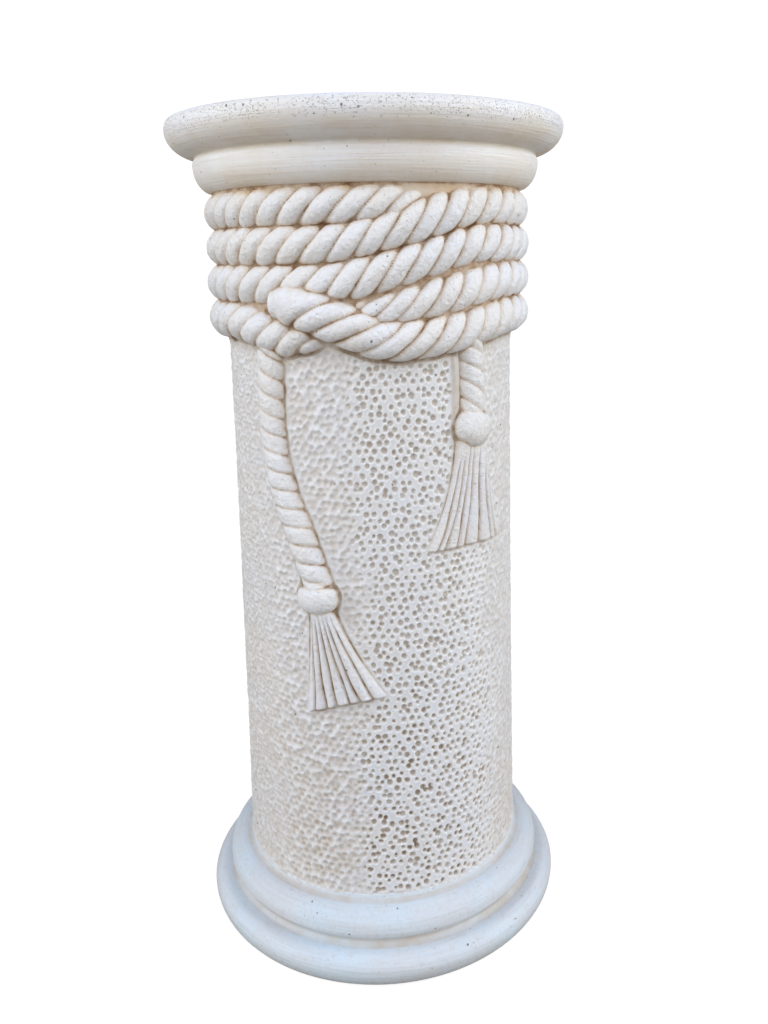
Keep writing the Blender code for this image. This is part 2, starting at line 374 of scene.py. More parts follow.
@dataclass
class Relief:
    """How far the carving stands out, on a grid of the unrolled column.

    Attributes:
        cell: Size of a grid cell.
        margin: Rows added below and above while the grid is blurred.
        heights: Outermost radius in each cell, rows up and columns round.
    """

    cell: float = 0.001
    margin: int = 40
    heights: Array = field(init=False)

    def __post_init__(self) -> None:
        """Start from the plain body: shaft, rope bed and mouldings."""
        rows, columns = round(HEIGHT / self.cell), round(GIRTH / self.cell)
        level = (np.arange(rows) + 0.5) * self.cell
        body = shaft_radius(level)
        body = np.where(level > BED_BOTTOM, BED_RADIUS, body)
        body = np.where(level > NECK, CAP_ROLL, body)
        body = np.where(level < BASE_TOP, 0.150, body)
        self.heights = np.repeat(body[:, None], columns, axis=1)

    def place(self, points: Array) -> tuple[Array, Array]:
        """Find the cells that points lie over.

        Args:
            points: Any array of points.

        Returns:
            Row and column of each point, in cells and parts of one.
        """
        rows, columns = self.heights.shape
        angle = np.arctan2(points[..., 0], -points[..., 1])
        return points[..., 2] / self.cell - 0.5, (angle / (2 * math.pi) % 1.0) * columns - 0.5

    def add(self, points: Array) -> None:
        """Raise the cells under a carved surface, and those beside them, to its radius.

        Args:
            points: The points of the surface.
        """
        row, column = self.place(points)
        rows, columns = self.heights.shape
        row = np.clip(np.round(row).astype(int), 0, rows - 1)
        column = np.round(column).astype(int) % columns
        radius = np.linalg.norm(points[..., :2], axis=-1)
        carved = np.zeros_like(self.heights)
        np.maximum.at(carved, (row.ravel(), column.ravel()), radius.ravel())
        for axis in (0, 1):
            carved = np.maximum(carved, np.maximum(np.roll(carved, 1, axis), np.roll(carved, -1, axis)))
        self.heights = np.maximum(self.heights, carved)

    def blurred(self, reach: float) -> "Relief":
        """Blur the grid by a bell curve: its spectrum times exp(-2 (pi * reach * f)^2).

        Args:
            reach: Width of the bell curve.

        Returns:
            A new relief.
        """
        soft = Relief(self.cell)
        rows, columns = self.heights.shape
        padded = np.pad(self.heights, ((self.margin, self.margin), (0, 0)), mode="edge")
        up = np.fft.fftfreq(rows + 2 * self.margin)[:, None]
        round_ = np.fft.rfftfreq(columns)[None, :]
        bell = np.exp(-2.0 * (math.pi * reach / self.cell) ** 2 * (up**2 + round_**2))
        whole = np.fft.irfft2(np.fft.rfft2(padded) * bell, s=padded.shape)
        soft.heights = whole[self.margin : -self.margin]
        return soft

    def at(self, points: Array) -> Array:
        """Read the grid under points.

        Args:
            points: Any array of points.

        Returns:
            The radius there, mixed between the four nearest cells.
        """
        row, column = self.place(points)
        rows, columns = self.heights.shape
        row = np.clip(row, 0.0, rows - 1.001)
        low, left = np.floor(row).astype(int), np.floor(column).astype(int)
        sides = (left % columns, (left + 1) % columns)
        return mixed(self.heights, (low, low + 1), sides, (row - low, column - left))


@dataclass
class Carving:
    """The relief and its blurred copies, which give each piece its masks.

    Attributes:
        relief: The carving as it stands.
        near: The same, blurred over a groove's width.
        wide: The same, blurred over a rope's width.
    """

    relief: Relief
    near: Relief = field(init=False)
    wide: Relief = field(init=False)

    def __post_init__(self) -> None:
        """Blur the relief twice."""
        self.near = self.relief.blurred(0.0022)
        self.wide = self.relief.blurred(0.0060)

    def masks(self, points: Array) -> dict[str, Array]:
        """Where wash lies in hollows, and where a painted highlight lies on crests.

        Hollow is how far the near relief stands over the point, and stain is how far
        the wide one does. The painted highlight is how far the point stands over the near relief.

        Args:
            points: Any array of points.

        Returns:
            The masks hollow, stain and crest, each from 0 to 1.
        """
        radius = np.linalg.norm(points[..., :2], axis=-1)
        near, wide = self.near.at(points) - radius, self.wide.at(points) - radius
        return {
            "hollow": ramp(near, 0.0003, 0.0026),
            "stain": ramp(wide, 0.0006, 0.0056),
            # Painted highlight where the point stands out over the near relief
            "crest": ramp(-near, 0.0002, 0.0012),
        }


# Finishes


def linear(red: int, green: int, blue: int) -> tuple[float, float, float, float]:
    """Turn a paint colour into the values a shader takes.

    Args:
        red: Red from 0 to 255, as on a screen.
        green: Green from 0 to 255.
        blue: Blue from 0 to 255.

    Returns:
        Linear red, green and blue from 0 to 1, and a full alpha.
    """
    parts = [value / 255.0 for value in (red, green, blue)]
    return (*(p / 12.92 if p <= 0.04045 else ((p + 0.055) / 1.055) ** 2.4 for p in parts), 1.0)


class Tree:
    """Adds shader nodes to one node tree and links them."""

    def __init__(self, tree: bpy.types.NodeTree) -> None:
        """Keep the tree that the nodes go in."""
        self.tree = tree

    def add(
        self, kind: str, inputs: dict[str, object] | None = None, **settings: object
    ) -> bpy.types.Node:
        """Add a node.

        Args:
            kind: Type name of the node.
            inputs: What to feed to its sockets, by their names.
            **settings: Properties of the node.

        Returns:
            The new node.
        """
        node = self.tree.nodes.new(kind)
        for name, value in settings.items():
            setattr(node, name, value)
        for name, value in (inputs or {}).items():
            self.feed(node.inputs[name], value)
        return node

    def feed(self, target: bpy.types.NodeSocket, value: object) -> None:
        """Link an output to a socket, or set the socket's plain value.

        Args:
            target: The socket that is fed.
            value: An output of another node, or a plain value.
        """
        if isinstance(value, bpy.types.NodeSocket):
            self.tree.links.new(value, target)
        else:
            target.default_value = value

    def math(self, operation: str, *values: object, clamp: bool = False) -> bpy.types.NodeSocket:
        """Do one step of arithmetic.

        Args:
            operation: The step's name in Blender.
            *values: Outputs or numbers that it works on.
            clamp: Whether the result is kept from 0 to 1.

        Returns:
            The result's output.
        """
        node = self.add("ShaderNodeMath", operation=operation, use_clamp=clamp)
        for socket, value in zip(node.inputs, values):
            self.feed(socket, value)
        return node.outputs[0]

    def mix(self, factor: object, first: object, second: object) -> bpy.types.NodeSocket:
        """Mix two colours.

        Args:
            factor: Share of the second colour.
            first: Output or value of the first colour.
            second: Output or value of the second colour.

        Returns:
            The output of the mixed colour.
        """
        node = self.add("ShaderNodeMix", data_type="RGBA")
        for name, value in (("Factor_Float", factor), ("A_Color", first), ("B_Color", second)):
            self.feed(next(s for s in node.inputs if s.identifier == name), value)
        return next(s for s in node.outputs if s.identifier == "Result_Color")

    def rise(self, value: object, start: float, end: float) -> bpy.types.NodeSocket:
        """Go smoothly from 0 to 1.

        Args:
            value: Output that is read.
            start: Where the result is 0.
            end: Where the result is 1. It may lie below start.

        Returns:
            The output of the result.
        """
        ends = {"Value": value, "From Min": start, "From Max": end}
        node = self.add("ShaderNodeMapRange", ends, interpolation_type="SMOOTHSTEP", clamp=True)
        return node.outputs["Result"]

    def noise(
        self, place: object, scale: object, detail: float, roughness: float = 0.55
    ) -> bpy.types.NodeSocket:
        """Add fractal noise.

        Args:
            place: Where the pattern is read.
            scale: Waves in a metre.
            detail: Number of finer layers.
            roughness: How much the finer layers count.

        Returns:
            The output of its value, from 0 to 1.
        """
        inputs = {"Vector": place, "Scale": scale, "Detail": detail, "Roughness": roughness}
        return self.add("ShaderNodeTexNoise", inputs).outputs["Fac"]

    def spots(self, place: object, scale: float) -> tuple[bpy.types.NodeSocket, ...]:
        """Scatter one spot in each random cell of space.

        Args:
            place: Where the pattern is read.
            scale: Cells in a metre.

        Returns:
            Distance from the middle of the spot, and two random values of its cell.
        """
        inputs = {"Vector": place, "Scale": scale, "Randomness": 1.0}
        cells = self.add("ShaderNodeTexVoronoi", inputs, feature="F1", distance="EUCLIDEAN")
        parts = self.add("ShaderNodeSeparateColor", {"Color": cells.outputs["Color"]})
        return cells.outputs["Distance"], parts.outputs["Red"], parts.outputs["Green"]

    def stretched(self, place: object, scale: tuple[float, float, float]) -> bpy.types.NodeSocket:
        """Scale a place by its axes."""
        inputs = {"Vector": place, "Scale": scale}
        return self.add("ShaderNodeMapping", inputs, vector_type="POINT").outputs["Vector"]

    def group(self, tree: bpy.types.NodeTree, **values: object) -> bpy.types.Node:
        """Place a node group, with its own values by input name."""
        inputs = {name.replace("_", " "): value for name, value in values.items()}
        return self.add("ShaderNodeGroup", inputs, node_tree=tree)


class Kind(Enum):
    """The kinds of group socket that the effects use."""

    VALUE = "NodeSocketFloat"
    COLOUR = "NodeSocketColor"
    PLACE = "NodeSocketVector"


def new_effect(
    name: str, inputs: dict[str, tuple[Kind, object]], outputs: dict[str, Kind]
) -> tuple[Tree, bpy.types.Node, bpy.types.Node]:
    """Start a shader node group with named inputs and outputs.

    Args:
        name: The group's name.
        inputs: Kind and value of each input, by name. A place has no value.
        outputs: Kind of each output, by name.

    Returns:
        The group's tree, its input node and its output node.
    """
    tree = bpy.data.node_groups.new(name, "ShaderNodeTree")
    for label, (kind, value) in inputs.items():
        socket = tree.interface.new_socket(name=label, in_out="INPUT", socket_type=kind.value)
        if kind is not Kind.PLACE:
            socket.default_value = value
    for label, kind in outputs.items():
        tree.interface.new_socket(name=label, in_out="OUTPUT", socket_type=kind.value)
    nodes = Tree(tree)
    return nodes, nodes.add("NodeGroupInput"), nodes.add("NodeGroupOutput")


class Effects:
    """The groups that all finishes share, each built once."""

    def __init__(self) -> None:
        """Build every group."""
        self.wash = self.build_wash()
        self.pinholes = self.build_pinholes()
        self.grain = self.build_grain()
        self.streaks = self.build_streaks()
        self.mottle = self.build_mottle()

    @staticmethod
    def build_wash() -> bpy.types.NodeTree:
        """Tan wash that a rag has left in the hollows, broken up by noise. The same mix lays the painted
        shade that some masks carry.

        Returns:
            A group that mixes the wash into a paint, and says how thick it lies.
        """
        tree, given, made = new_effect(
            "Wash",
            {
                "Place": (Kind.PLACE, None),
                "Paint": (Kind.COLOUR, (0.8, 0.8, 0.8, 1.0)),
                "Light Wash": (Kind.COLOUR, (0.6, 0.5, 0.4, 1.0)),
                "Dark Wash": (Kind.COLOUR, (0.3, 0.2, 0.1, 1.0)),
                "Hollow": (Kind.VALUE, 0.0),
                "Stain": (Kind.VALUE, 0.0),
            },
            {"Color": Kind.COLOUR, "Mask": Kind.VALUE},
        )
        place = given.outputs["Place"]
        broken = tree.rise(tree.noise(place, 95.0, 4.0), 0.30, 0.72)
        drift = tree.rise(tree.noise(place, 22.0, 2.0), 0.30, 0.70)
        soft = tree.math("MULTIPLY", given.outputs["Stain"], tree.math("MULTIPLY_ADD", drift, 0.6, 0.5))
        light = tree.math("MAXIMUM", soft, tree.math("MULTIPLY", given.outputs["Hollow"], 0.85))
        light = tree.math("MULTIPLY", light, tree.math("MULTIPLY_ADD", broken, 0.45, 0.65), clamp=True)
        deep = tree.math("MULTIPLY", tree.rise(given.outputs["Hollow"], 0.55, 1.0), light)
        dark = tree.math("MULTIPLY", deep, tree.math("MULTIPLY_ADD", broken, 0.7, 0.3), clamp=True)
        colour = tree.mix(light, given.outputs["Paint"], given.outputs["Light Wash"])
        tree.feed(made.inputs["Color"], tree.mix(dark, colour, given.outputs["Dark Wash"]))
        tree.feed(made.inputs["Mask"], light)
        return tree.tree

    @staticmethod
    def build_pinholes() -> bpy.types.NodeTree:
        """Small dark air holes of a casting, scattered in loose clusters.

        Returns:
            A group with a mask of the holes and fine bubbles, and their height.
        """
        tree, given, made = new_effect(
            "Pinholes",
            {
                "Place": (Kind.PLACE, None),
                "Density": (Kind.VALUE, 0.3),
                "Bubbles": (Kind.VALUE, 0.0),
            },
            {"Mask": Kind.VALUE, "Height": Kind.VALUE},
        )
        place = given.outputs["Place"]
        cluster = tree.rise(tree.noise(place, 34.0, 2.0), 0.42, 0.68)
        marks = []
        for label, scale, chances, sizes, rim in (
            ("Density", 210.0, (0.85, 0.15), (0.17, 0.07), (-0.02, 0.05)),
            ("Bubbles", 600.0, (0.5, 0.4), (0.22, 0.20), (-0.05, 0.10)),
        ):
            distance, pick, shade = tree.spots(place, scale)
            spread = tree.math("MULTIPLY_ADD", cluster, *chances)
            chosen = tree.math("LESS_THAN", pick, tree.math("MULTIPLY", given.outputs[label], spread))
            size = tree.math("MULTIPLY_ADD", shade, *sizes)
            hole = tree.rise(tree.math("SUBTRACT", size, distance), *rim)
            marks.append(tree.math("MULTIPLY", hole, chosen))
        mask = tree.math("MAXIMUM", marks[0], tree.math("MULTIPLY", marks[1], 0.45))
        tree.feed(made.inputs["Mask"], mask)
        tree.feed(made.inputs["Height"], tree.math("MULTIPLY", mask, -1.0))
        return tree.tree

    @staticmethod
    def build_grain() -> bpy.types.NodeTree:
        """Fine sandy grain under the paint.

        Returns:
            A group with the grain's height, and flecks where it lies low.
        """
        tree, given, made = new_effect(
            "Grain",
            {"Place": (Kind.PLACE, None), "Coarse": (Kind.VALUE, 0.5)},
            {"Height": Kind.VALUE, "Flecks": Kind.VALUE},
        )
        place = given.outputs["Place"]
        fine = tree.noise(place, 900.0, 3.0, 0.6)
        coarse = tree.noise(place, 260.0, 4.0, 0.6)
        total = tree.math("MULTIPLY_ADD", coarse, given.outputs["Coarse"], tree.math("MULTIPLY", fine, 0.35))
        tree.feed(made.inputs["Height"], total)
        tree.feed(made.inputs["Flecks"], tree.rise(coarse, 0.50, 0.32))
        return tree.tree

    @staticmethod
    def build_streaks() -> bpy.types.NodeTree:
        """Level marks of a brush drawn round the mouldings.

        Returns:
            A group with the marks' height and mask.
        """
        tree, given, made = new_effect(
            "Brush_streaks",
            {"Place": (Kind.PLACE, None)},
            {"Height": Kind.VALUE, "Mask": Kind.VALUE},
        )
        place = given.outputs["Place"]
        fine = tree.noise(tree.stretched(place, (9.0, 9.0, 420.0)), 1.6, 3.0, 0.6)
        broad = tree.noise(tree.stretched(place, (5.0, 5.0, 120.0)), 1.4, 2.0, 0.5)
        height = tree.math("MULTIPLY_ADD", fine, 0.6, tree.math("MULTIPLY", broad, 0.4))
        tree.feed(made.inputs["Height"], height)
        tree.feed(made.inputs["Mask"], tree.rise(height, 0.42, 0.66))
        return tree.tree

    @staticmethod
    def build_mottle() -> bpy.types.NodeTree:
        """Slow drift between two shades of the same paint.

        Returns:
            A group with the mixed colour.
        """
        tree, given, made = new_effect(
            "Mottle",
            {
                "Place": (Kind.PLACE, None),
                "First": (Kind.COLOUR, (0.8, 0.8, 0.8, 1.0)),
                "Second": (Kind.COLOUR, (0.7, 0.7, 0.7, 1.0)),
                "Scale": (Kind.VALUE, 14.0),
            },
            {"Color": Kind.COLOUR},
        )
        drift = tree.noise(given.outputs["Place"], given.outputs["Scale"], 5.0, 0.6)
        drift = tree.rise(drift, 0.34, 0.66)
        tree.feed(made.inputs["Color"], tree.mix(drift, given.outputs["First"], given.outputs["Second"]))
        return tree.tree


MASKS = ("hollow", "stain", "crest", "speckle")


@dataclass(frozen=True)
class StoneFinish:
    """Painted cast stone: two shades of paint, a wash in the hollows, a painted highlight on crests, and the
    casting's marks.

    Attributes:
        name: Name of the material.
        paint: Main shade of the paint.
        paint_drift: Second shade, which it drifts to.
        light_wash: Wash where it lies thin.
        dark_wash: Wash where it lies thick.
        crest: Colour of the painted highlight on crests.
        crest_amount: How much of the painted highlight the crests show.
        holes: How many air holes there are, from 0 to 1.
        bubbles: How many fine bubbles there are, from 0 to 1.
        coarse: Share of coarse grain.
        grain_height: Height of the grain in metres.
        streak_height: Height of the brush marks in metres.
        streak_tint: How much the brush marks show as colour.
        flecks: How much wash clings to the grain all over.
        roughness: Roughness of the clean paint.
        hole_shade: Shade of the bottom of an air hole.
        hole_depth: Depth of an air hole in metres.
    """

    name: str
    paint: tuple[int, int, int]
    paint_drift: tuple[int, int, int]
    light_wash: tuple[int, int, int] = (203, 176, 142)
    dark_wash: tuple[int, int, int] = (128, 92, 58)
    crest: tuple[int, int, int] = (236, 238, 240)
    crest_amount: float = 0.6
    holes: float = 0.10
    bubbles: float = 0.03
    coarse: float = 0.5
    grain_height: float = 0.0003
    streak_height: float = 0.0
    streak_tint: float = 0.0
    flecks: float = 0.22
    roughness: float = 0.62
    hole_shade: tuple[int, int, int] = (96, 78, 60)
    hole_depth: float = 0.0008

    def material(self, effects: Effects) -> bpy.types.Material:
        """Build the material.

        Args:
            effects: The shared groups.

        Returns:
            A material whose patterns read Object coordinates and point attributes.
        """
        material = bpy.data.materials.new(self.name)
        material.use_nodes = True
        shader = material.node_tree.nodes["Principled BSDF"]
        tree = Tree(material.node_tree)
        place = tree.add("ShaderNodeTexCoord").outputs["Object"]
        mask = {
            name: tree.add("ShaderNodeAttribute", attribute_name=name).outputs["Fac"] for name in MASKS
        }
        shades = {"First": linear(*self.paint), "Second": linear(*self.paint_drift)}
        paint = tree.group(effects.mottle, Place=place, **shades).outputs["Color"]
        # Painted highlight: a paler colour mixed onto the crests
        crest = tree.math("MULTIPLY", mask["crest"], self.crest_amount)
        paint = tree.mix(crest, paint, linear(*self.crest))
        grain = tree.group(effects.grain, Place=place, Coarse=self.coarse)
        flecks = tree.math("MULTIPLY", grain.outputs["Flecks"], self.flecks)
        paint = tree.mix(flecks, paint, linear(*self.light_wash))
        streaks = tree.group(effects.streaks, Place=place)
        streak_mask = tree.math("MULTIPLY", streaks.outputs["Mask"], self.streak_tint)
        paint = tree.mix(streak_mask, paint, linear(*self.light_wash))
        wash = tree.group(
            effects.wash,
            Place=place,
            Paint=paint,
            Light_Wash=linear(*self.light_wash),
            Dark_Wash=linear(*self.dark_wash),
            Hollow=mask["hollow"],
            Stain=mask["stain"],
        )
        density = tree.math("MULTIPLY_ADD", mask["speckle"], 0.5, self.holes)
        bubbles = tree.math("MULTIPLY_ADD", mask["speckle"], 1.0, self.bubbles)
        holes = tree.group(effects.pinholes, Place=place, Density=density, Bubbles=bubbles)
        dark = tree.math("MULTIPLY", holes.outputs["Mask"], 0.8)
        colour = tree.mix(dark, wash.outputs["Color"], linear(*self.hole_shade))
        tree.feed(shader.inputs["Base Color"], colour)
        rough = tree.math("MULTIPLY_ADD", wash.outputs["Mask"], 0.2, self.roughness)
        tree.feed(shader.inputs["Roughness"], rough)
        boost = tree.math("MULTIPLY_ADD", mask["speckle"], 2.0, 1.0)
        rise = tree.math("MULTIPLY", grain.outputs["Height"], boost)
        rise = tree.math("MULTIPLY", rise, self.grain_height)
        rise = tree.math("MULTIPLY_ADD", streaks.outputs["Height"], self.streak_height, rise)
        rise = tree.math("MULTIPLY_ADD", holes.outputs["Height"], self.hole_depth, rise)
        bump = tree.add("ShaderNodeBump", {"Strength": 1.0, "Distance": 1.0, "Height": rise})
        tree.feed(shader.inputs["Normal"], bump.outputs["Normal"])
        return material


CAPITAL_FINISH = StoneFinish(
    "painted_capital",
    paint=(241, 242, 243),
    paint_drift=(236, 233, 226),
    # This light wash also colours the painted shade on the capital's faces that look down
    light_wash=(228, 214, 190),
    dark_wash=(158, 126, 92),
    streak_height=0.0009,
    streak_tint=0.30,
    holes=0.08,
    roughness=0.48,
)
# The base's bluish paint stands in partly for cool light from above on its upward faces
BASE_FINISH = StoneFinish(
    "painted_base",
    paint=(209, 223, 230),
    paint_drift=(213, 217, 219),
    light_wash=(192, 180, 164),
    dark_wash=(150, 124, 96),
    streak_height=0.0011,
    streak_tint=0.20,
    holes=0.08,
    roughness=0.5,
)
ROPE_FINISH = StoneFinish(
    "painted_rope",
    paint=(241, 242, 243),
    paint_drift=(241, 238, 232),
    light_wash=(213, 183, 143),
    # A cool, near-white painted highlight on the strands' crests
    crest=(248, 250, 252),
    crest_amount=1.0,
    flecks=0.16,
    holes=0.10,
    bubbles=0.05,
    coarse=1.0,
    grain_height=0.0022,
    roughness=0.42,
)
SHAFT_FINISH = StoneFinish(
    "painted_pitted_shaft",
    paint=(224, 226, 228),
    paint_drift=(225, 224, 221),
    light_wash=(199, 183, 160),
    dark_wash=(126, 106, 86),
    # Painted highlight on the rims of the holes and the ridges between the dints
    crest=(242, 242, 240),
    crest_amount=1.0,
    flecks=0.14,
    holes=0.03,
    grain_height=0.0004,
)
BED_FINISH = StoneFinish(
    "washed_rope_bed",
    paint=(228, 224, 216),
    paint_drift=(222, 212, 196),
    holes=0.12,
    coarse=1.0,
    grain_height=0.0006,
)


# The turned body


@dataclass
class Turned:
    """A closed ring of moulding, turned round the axis.

    Attributes:
        name: The piece's name.
        columns: Steps round the axis.
        rows: Spacing along the profile.
        wobble: Most that hand work takes off the surface.
        seed: Seed of its unevenness.
        under: How much painted shade, in the wash's colour, lies on the faces that look down.
    """

    name: str
    columns: int
    rows: float
    wobble: float
    seed: int
    under: float = 0.0

    def profile(self) -> Array:
        """Give the (radius, height) rows of the profile, from below upwards."""
        raise NotImplementedError

    def speckle(self, profile: Array) -> Array:
        """Give how rough and speckled each row is: nowhere, unless a moulding says so."""
        return np.zeros(len(profile))

    def surface(self) -> tuple[Array, Array]:
        """Turn the profile: each row is a ring, less the wobble times noise.

        Returns:
            Points over rows and columns, and the speckle of each row.
        """
        profile = self.profile()
        angle = np.linspace(-180.0, 180.0, self.columns, endpoint=False)[None, :]
        radius, height = profile[:, :1], profile[:, 1:]
        uneven = layered_noise(unrolled(angle), run_along(profile)[:, None], 0.045, self.seed) * 0.5 + 0.5
        outside = ramp(radius, 0.14, 0.15)
        points = on_column(angle, radius - self.wobble * uneven * outside, height)
        return points, self.speckle(profile)[:, None]

    def build(self, carving: Carving) -> bpy.types.Object:
        """Make the mesh with its masks.

        Args:
            carving: The relief that gives the masks.

        Returns:
            The piece, without its finish.
        """
        points, speckle = self.surface()
        masks = self.washed(points, carving.masks(points))
        masks["speckle"] = speckle
        return make_mesh(self.name, points, masks, grid_normals(points))

    def washed(self, points: Array, masks: dict[str, Array]) -> dict[str, Array]:
        """Wash the grooves of the profile, paint shade on the faces that look down, and paint a highlight on
        its crests.

        Args:
            points: Points over rows and columns.
            masks: The masks of the carving, which the profile's take the place of.

        Returns:
            The masks hollow, stain and crest. Stain also holds the painted shade on the faces that look
            down.
        """
        profile = np.stack([np.linalg.norm(points[:, 0, :2], axis=-1), points[:, 0, 2]], axis=-1)
        hollow = profile_hollow(profile, run_along(profile), 0.0045)
        # Painted shade: faces that look down take the wash's colour, as if less lit from below
        facing_down = -profile_normals(profile)[:, 1]
        under = self.under * ramp(facing_down, 0.05, 0.75)
        rows = {
            "hollow": 0.5 * ramp(hollow, 0.0004, 0.0018),
            "stain": np.maximum(0.75 * ramp(hollow, 0.0, 0.0011), under),
            # Painted highlight on the profile's crests
            "crest": ramp(-hollow, 0.0004, 0.0016),
        }
        return masks | {name: row[:, None] for name, row in rows.items()}


def profile_normals(profile: Array) -> Array:
    """Unit normals of a profile: the step along it, turned by 90 degrees.

    Args:
        profile: (radius, height) rows from below upwards.

    Returns:
        One (radius, height) normal for each row, pointing away from the axis.
    """
    along = np.gradient(profile, axis=0)
    normal = np.stack([along[:, 1], -along[:, 0]], axis=-1)
    return normal / np.maximum(np.linalg.norm(normal, axis=-1, keepdims=True), 1e-9)


def profile_hollow(profile: Array, run: Array, reach: float) -> Array:
    """How far each point of a profile lies inside the middle of its neighbours.

    The neighbours are the points one reach before and after it along the profile, and
    the distance is measured along the outward normal.

    Args:
        profile: (radius, height) rows.
        run: Length along the profile at each row.
        reach: How far away the neighbours are.

    Returns:
        The distance, positive in a groove and negative on a ridge.
    """
    middle = (points_at(profile, run, run - reach) + points_at(profile, run, run + reach)) / 2.0
    return ((middle - profile) * profile_normals(profile)).sum(axis=-1)


@dataclass
class Base(Turned):
    """The lower ring, the groove over it and the rounded step up to the shaft.

    Attributes:
        ring: Radius of the ring.
        ring_height: Height of the ring.
        ring_middle: Height of its widest place, as a share of the ring's.
        bulge: How much wider than tall its quarter ellipses are.
        step: Radius of the step.
        step_height: Height of the step.
        step_middle: Height of its widest place, as a share of the step's.
        groove: Depth of the groove between them.
        cove: Half width and half height of the hollow in the groove.
        fillet: Radius of the hollow from the step up to the shaft.
    """

    ring: float = 0.173
    ring_height: float = 0.033
    ring_middle: float = 0.59
    bulge: float = 1.08
    step: float = 0.156
    step_height: float = 0.031
    step_middle: float = 0.44
    groove: float = 0.0045
    cove: tuple[float, float] = (0.0060, 0.0040)
    fillet: float = 0.0060

    def profile(self) -> Array:
        """Ring, hollow groove and step in quarter ellipses, then a hollow up to the shaft.

        Returns:
            (radius, height) rows from below upwards.
        """
        belly = self.ring_middle * self.ring_height
        top = self.ring_height - belly
        step_belly = self.ring_height + self.step_middle * self.step_height
        inner = self.step - self.groove
        foot = SHAFT_RADIUS + SHAFT_FLARE
        parts = [
            arc((self.ring - self.bulge * belly, belly), (self.bulge * belly, belly), -90, 0),
            arc((self.ring - self.bulge * top, belly), (self.bulge * top, top), 4, 80),
            arc((inner + self.cove[0], self.ring_height + self.cove[1]), self.cove, 262, 180),
            arc((inner, step_belly), (self.groove, 0.20 * self.step_height), -60, -10),
            arc((foot, step_belly), (self.step - foot, BASE_TOP - step_belly), 0, 66),
            arc((foot + 0.0055, BASE_TOP + 0.0052), (self.fillet, self.fillet), 252, 184),
            np.array([(foot - 0.003, BASE_TOP + 0.0056)]),
        ]
        return resampled(np.concatenate(parts), self.rows)


@dataclass
class Capital(Turned):
    """The roll over the rope, the groove and the slab with its softened edge.

    Attributes:
        roll_middle: Height of the roll's widest place, counted down, as a share of the roll's.
        groove: Depth of the groove over the roll.
        cove: Half width and half height of the hollow under the slab.
        slab: Radius of the slab.
        slab_height: Height of the slab.
        slab_middle: Height of its widest place, as a share of the slab's.
        edge: Width of its softened edge.
    """

    roll_middle: float = 0.22
    groove: float = 0.005
    cove: tuple[float, float] = (0.0070, 0.0026)
    slab: float = 0.178
    slab_height: float = 0.0305
    slab_middle: float = 0.74
    edge: float = 0.004

    def profile(self) -> Array:
        """Roll, hollow, slab and its edge in quarter ellipses, then the flat top.

        Returns:
            (radius, height) rows from below upwards.
        """
        belly = CAP_UNDERSIDE - self.roll_middle * (CAP_UNDERSIDE - NECK)
        inner = CAP_ROLL - self.groove
        slab_belly = CAP_UNDERSIDE + self.slab_middle * self.slab_height
        parts = [
            np.array([(BED_RADIUS - 0.012, NECK)]),
            arc((BED_RADIUS, belly), (CAP_ROLL - BED_RADIUS, belly - NECK), -90, 0),
            arc((inner, belly), (self.groove, CAP_UNDERSIDE - belly), 4, 50),
            arc((inner + 0.0095, CAP_UNDERSIDE - 0.0010), self.cove, 180, 100),
            arc((inner, slab_belly), (self.slab - inner, slab_belly - CAP_UNDERSIDE), -70, 0),
            arc((self.slab - self.edge, slab_belly), (self.edge, HEIGHT - slab_belly), 4, 90),
        ]
        side = resampled(np.concatenate(parts), self.rows)
        top = [(radius, HEIGHT) for radius in (0.168, 0.15, 0.12, 0.08, 0.04, 0.01)]
        return np.concatenate([side, np.array(top)])

    def speckle(self, profile: Array) -> Array:
        """The upper edge of the slab is rough and speckled."""
        near_rim = 1.4 * ramp(profile[:, 0], 0.160, 0.174)
        return ramp(profile[:, 1], 0.7310, 0.7410) * ramp(profile[:, 1], 0.7498, 0.7465) * near_rim


@dataclass
class RopeBed(Turned):
    """The mortar between the turns of the rope, a little sunk behind them.

    Attributes:
        sunk: How far it lies in from the bed's radius.
        proud: How far it stands out from that radius under the cap.
    """

    sunk: float = 0.0018
    proud: float = 0.0005

    def profile(self) -> Array:
        """A short slope at the foot, straight up behind the rope, and out to the cap.

        Returns:
            (radius, height) rows from below upwards.
        """
        points = [
            (SHAFT_RADIUS - 0.006, BED_BOTTOM),
            (SHAFT_RADIUS, BED_BOTTOM),
            (BED_RADIUS - self.sunk, BED_BOTTOM + 0.1 * ROPE_RADIUS),
            (BED_RADIUS - self.sunk, NECK - 0.016),
            (BED_RADIUS + self.proud, NECK - 0.008),
            (BED_RADIUS + self.proud, NECK + 0.002),
        ]
        return resampled(np.array(points), self.rows)

    def washed(self, points: Array, masks: dict[str, Array]) -> dict[str, Array]:
        """Keep the masks of the carving, since the rope lies all over it."""
        return masks


# The pitted shaft


class Pitting(Enum):
    """The ways of pitting the shaft: cell size, hole radius, depth, and width of the wall.

    A wall of 0 is for round dints that run together, with a sharp ridge between them.
    """

    HOLED = (0.0074, 0.00250, 0.0019, 0.0009)
    DINTED = (0.0070, 0.00420, 0.0019, 0.0)
    STIPPLED = (0.0050, 0.00300, 0.0013, 0.0)


